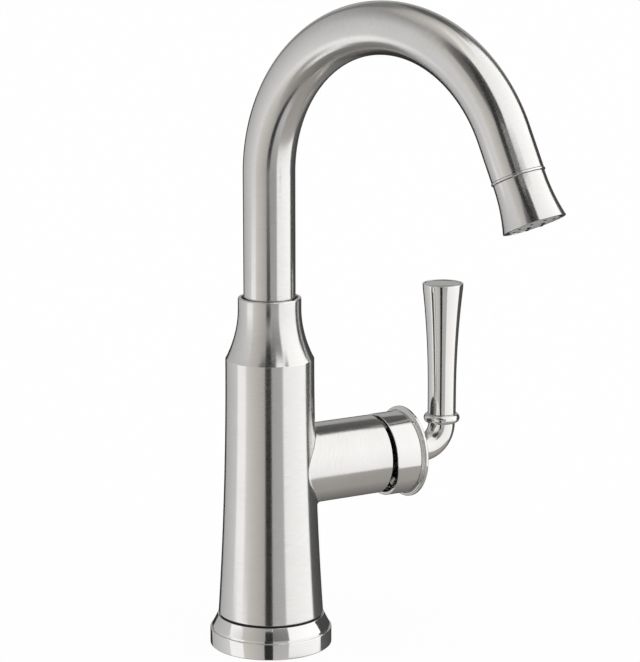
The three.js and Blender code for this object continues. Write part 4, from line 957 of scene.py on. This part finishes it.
def card(name, rows, levels, material=PLAIN_GLOW, away=3.0):
    """Curved card that the metal mirrors. rows: (elevation, left, right) in degrees as
    seen from the faucet, left and right turning from the camera's side. levels: light at
    the lower left, lower right, upper left and upper right, blended evenly between, or
    one light for the whole card. away: distance in metres. A card nearer than a metre is
    upright, so its height grows with the tangent of the elevation."""
    rows = np.array(rows, float)
    v = np.linspace(0, 1, 4 * len(rows))[:, None]
    u = np.linspace(0, 1, 25)[None, :]
    place = np.linspace(0, 1, len(rows))
    up, left, right = (np.radians(np.interp(v, place, rows[:, n])) for n in range(3))
    turn = left + (right - left) * u
    up = np.broadcast_to(up, turn.shape)
    reach, rise = (1 + 0 * up, np.tan(up)) if away < 1 else (np.cos(up), np.sin(up))
    outward = np.cos(turn)[..., None] * CAMERA_SIDE + np.sin(turn)[..., None] * CAMERA_RIGHT
    points = away * (reach[..., None] * outward + rise[..., None] * Z) + CARD_HEIGHT * Z
    low_left, low_right, high_left, high_right = np.broadcast_to(levels, 4)
    low = low_left + (low_right - low_left) * u
    high = high_left + (high_right - high_left) * u
    level = low + (high - low) * v
    count, width = turn.shape
    index = np.arange(count * width).reshape(count, width)
    quads = np.stack([index[:-1, :-1], index[:-1, 1:], index[1:, 1:], index[1:, :-1]], -1)
    mesh = bpy.data.meshes.new(name)
    mesh.from_pydata(points.reshape(-1, 3).tolist(), [], quads.reshape(-1, 4).tolist())
    mesh.attributes.new("level", "FLOAT", "POINT").data.foreach_set(
        "value", level.astype(np.float32).ravel())
    mesh.materials.append(material)
    panel = placed(name, mesh)
    panel.visible_camera = panel.visible_diffuse = panel.visible_shadow = False


def deck():
    """Pale deck with the hole that the shank passes, drawn as rings out from the hole.
    Camera rays see it nearly white, with the faucet's own soft shadow left on it."""
    rings = np.array([17.5, 22, 40, 80, 160, 400, 1000, 3000, 9000.0])
    a = np.linspace(0, 2 * PI, 96, endpoint=False)
    points = np.stack([rings[:, None] * np.cos(a), rings[:, None] * np.sin(a),
                       np.full((len(rings), 96), -0.05)], -1)
    points, quads, _ = skin(points, False)
    mesh = bpy.data.meshes.new("deck")
    mesh.from_pydata((points * MM).tolist(), [], quads.tolist())
    mesh.update()
    if mesh.polygons[0].normal.z < 0:
        mesh.flip_normals()
    floor = placed("deck", mesh)
    material = bpy.data.materials.new("pale deck")
    w = wiring_of(material)
    path = w.node("ShaderNodeLightPath")
    matt = w.node("ShaderNodeBsdfDiffuse", {"Color": DECK_COLOUR})
    white = w.node("ShaderNodeEmission", {"Strength": DECK_WHITE})
    share = w.math("MULTIPLY", path.outputs["Is Camera Ray"], DECK_SHARE)
    both = w.node("ShaderNodeMixShader", {0: share, 1: matt.outputs[0],
                                          2: white.outputs[0]})
    w.node("ShaderNodeOutputMaterial", {"Surface": both.outputs[0]})
    mesh.materials.append(material)
    floor.visible_glossy = False


def studio():
    """World: white to the camera, and to glossy and transmitted rays; a plain lower
    level lights everything else."""
    world = bpy.data.worlds.new("studio")
    bpy.context.scene.world = world
    w = wiring_of(world)
    path = w.node("ShaderNodeLightPath")
    seen = w.math("MAXIMUM", path.outputs["Is Camera Ray"],
                  w.math("MAXIMUM", path.outputs["Is Glossy Ray"],
                         path.outputs["Is Transmission Ray"]))
    strength = w.math("MULTIPLY_ADD", seen, WHITE_LEVEL - LIGHT_LEVEL, LIGHT_LEVEL)
    sky = w.node("ShaderNodeBackground", {"Color": (1, 1, 1, 1), "Strength": strength})
    w.node("ShaderNodeOutputWorld", {"Surface": sky.outputs[0]})
    world.cycles.sampling_method = "NONE"


deck()
studio()
# far boards on the left, warm in front, and a near strip that leans towards its foot
card("left board", [(-35, -148, -60), (28, -148, -60)], (0.48, 0.92, 0.46, 0.74))
card("left upper board", [(28, -148, -60), (60, -148, -60)], (0.46, 0.74, 0.28, 0.40))
card("left front board", [(-35, -60, -9), (60, -60, -9)], (0.80, 0.50, 0.60, 0.36), WARM_GLOW)
card("left strip", [(-50, -78, -49), (-34, -79, -50), (-32.6, -88, -62), (-9, -88, -62)],
     1.12, away=0.3)
card("left strip top", [(-9, -87, -62), (7, -76, -57)], (1.12, 1.12, 0.76, 0.76), away=0.3)
# near flag and boards in front, beside the camera
card("front flag", [(-60, -11, 5), (-9, -11, 5)], 0.03, away=0.5)
card("front flag fade", [(-9, -11, 5), (5, -10, 4)], (0.03, 0.03, 0.36, 0.36), away=0.5)
card("front flag pale", [(5, -10, 4), (16, -10, 4)], 0.36, away=0.5)
card("front flag top", [(16, -11, 5), (60, -11, 5)], 0.03, away=0.5)
card("front arm", [(30, -20, 20), (38, -30, 21), (46, -38, 18), (56, -40, 15), (66, -34, 8)],
     (0.22, 0.04, 0.12, 0.08), away=0.54)
card("narrow board", [(-55, 5, 34), (0, 5, 34), (29, 5, 42)], (0.62, 0.66, 0.16, 0.2),
     away=0.52)
# bright box on the right, with dark flags beyond it on both sides
card("right box", [(-27.5, 16, 106), (0, 4, 106), (20, 8, 130)], (0.98, 1.18, 1.08, 1.42))
card("right upper box", [(20, 8, 130), (42, 8, 136), (54, 4, 136), (60, 0, 127), (72, -8, 130)],
     (1.1, 1.42, 1.05, 1.15))
card("right flag", [(-30, 113, 182), (-15, 107, 182), (8, 108, 182), (16, 124, 182)],
     (0.16, 0.04, 0.03, 0.06), away=2.8)
card("right back board", [(10, 120, 182), (42, 136, 182), (54, 136, 182), (62, 127, 182)],
     (0.12, 0.14, 0.08, 0.10), away=2.9)
card("back board", [(4, 152, 200), (33, 152, 200)], (0.42, 0.42, 0.45, 0.45), away=2.6)
card("left flag", [(-45, 178, 214), (3, 180, 212)], 0.03, away=2.8)
card("left back board", [(0, 180, 214), (60, 180, 214)], (0.2, 0.25, 0.24, 0.2), away=2.9)
# low and top boards, which close the ring
for name, rows, levels in (
        ("left low board", [(-88, -182, 0), (-34, -182, 0)], (0.12, 0.2, 0.12, 0.5)),
        ("right low board", [(-88, 0, 104), (-27, 0, 104)], (0.36, 0.34, 0.42, 0.46)),
        ("back low board", [(-88, 104, 180), (-27, 104, 180)], (0.34, 0.2, 0.4, 0.12)),
        ("left top board", [(58, -182, 0), (88, -182, 0)], (0.42, 0.45, 0.75, 0.75)),
        ("right top board", [(60, 0, 180), (88, 0, 180)], (1.2, 0.3, 1.0, 0.9))):
    card(name, rows, levels, WARM_GLOW, away=3.1)
bpy.context.scene.view_settings.view_transform = "Standard"
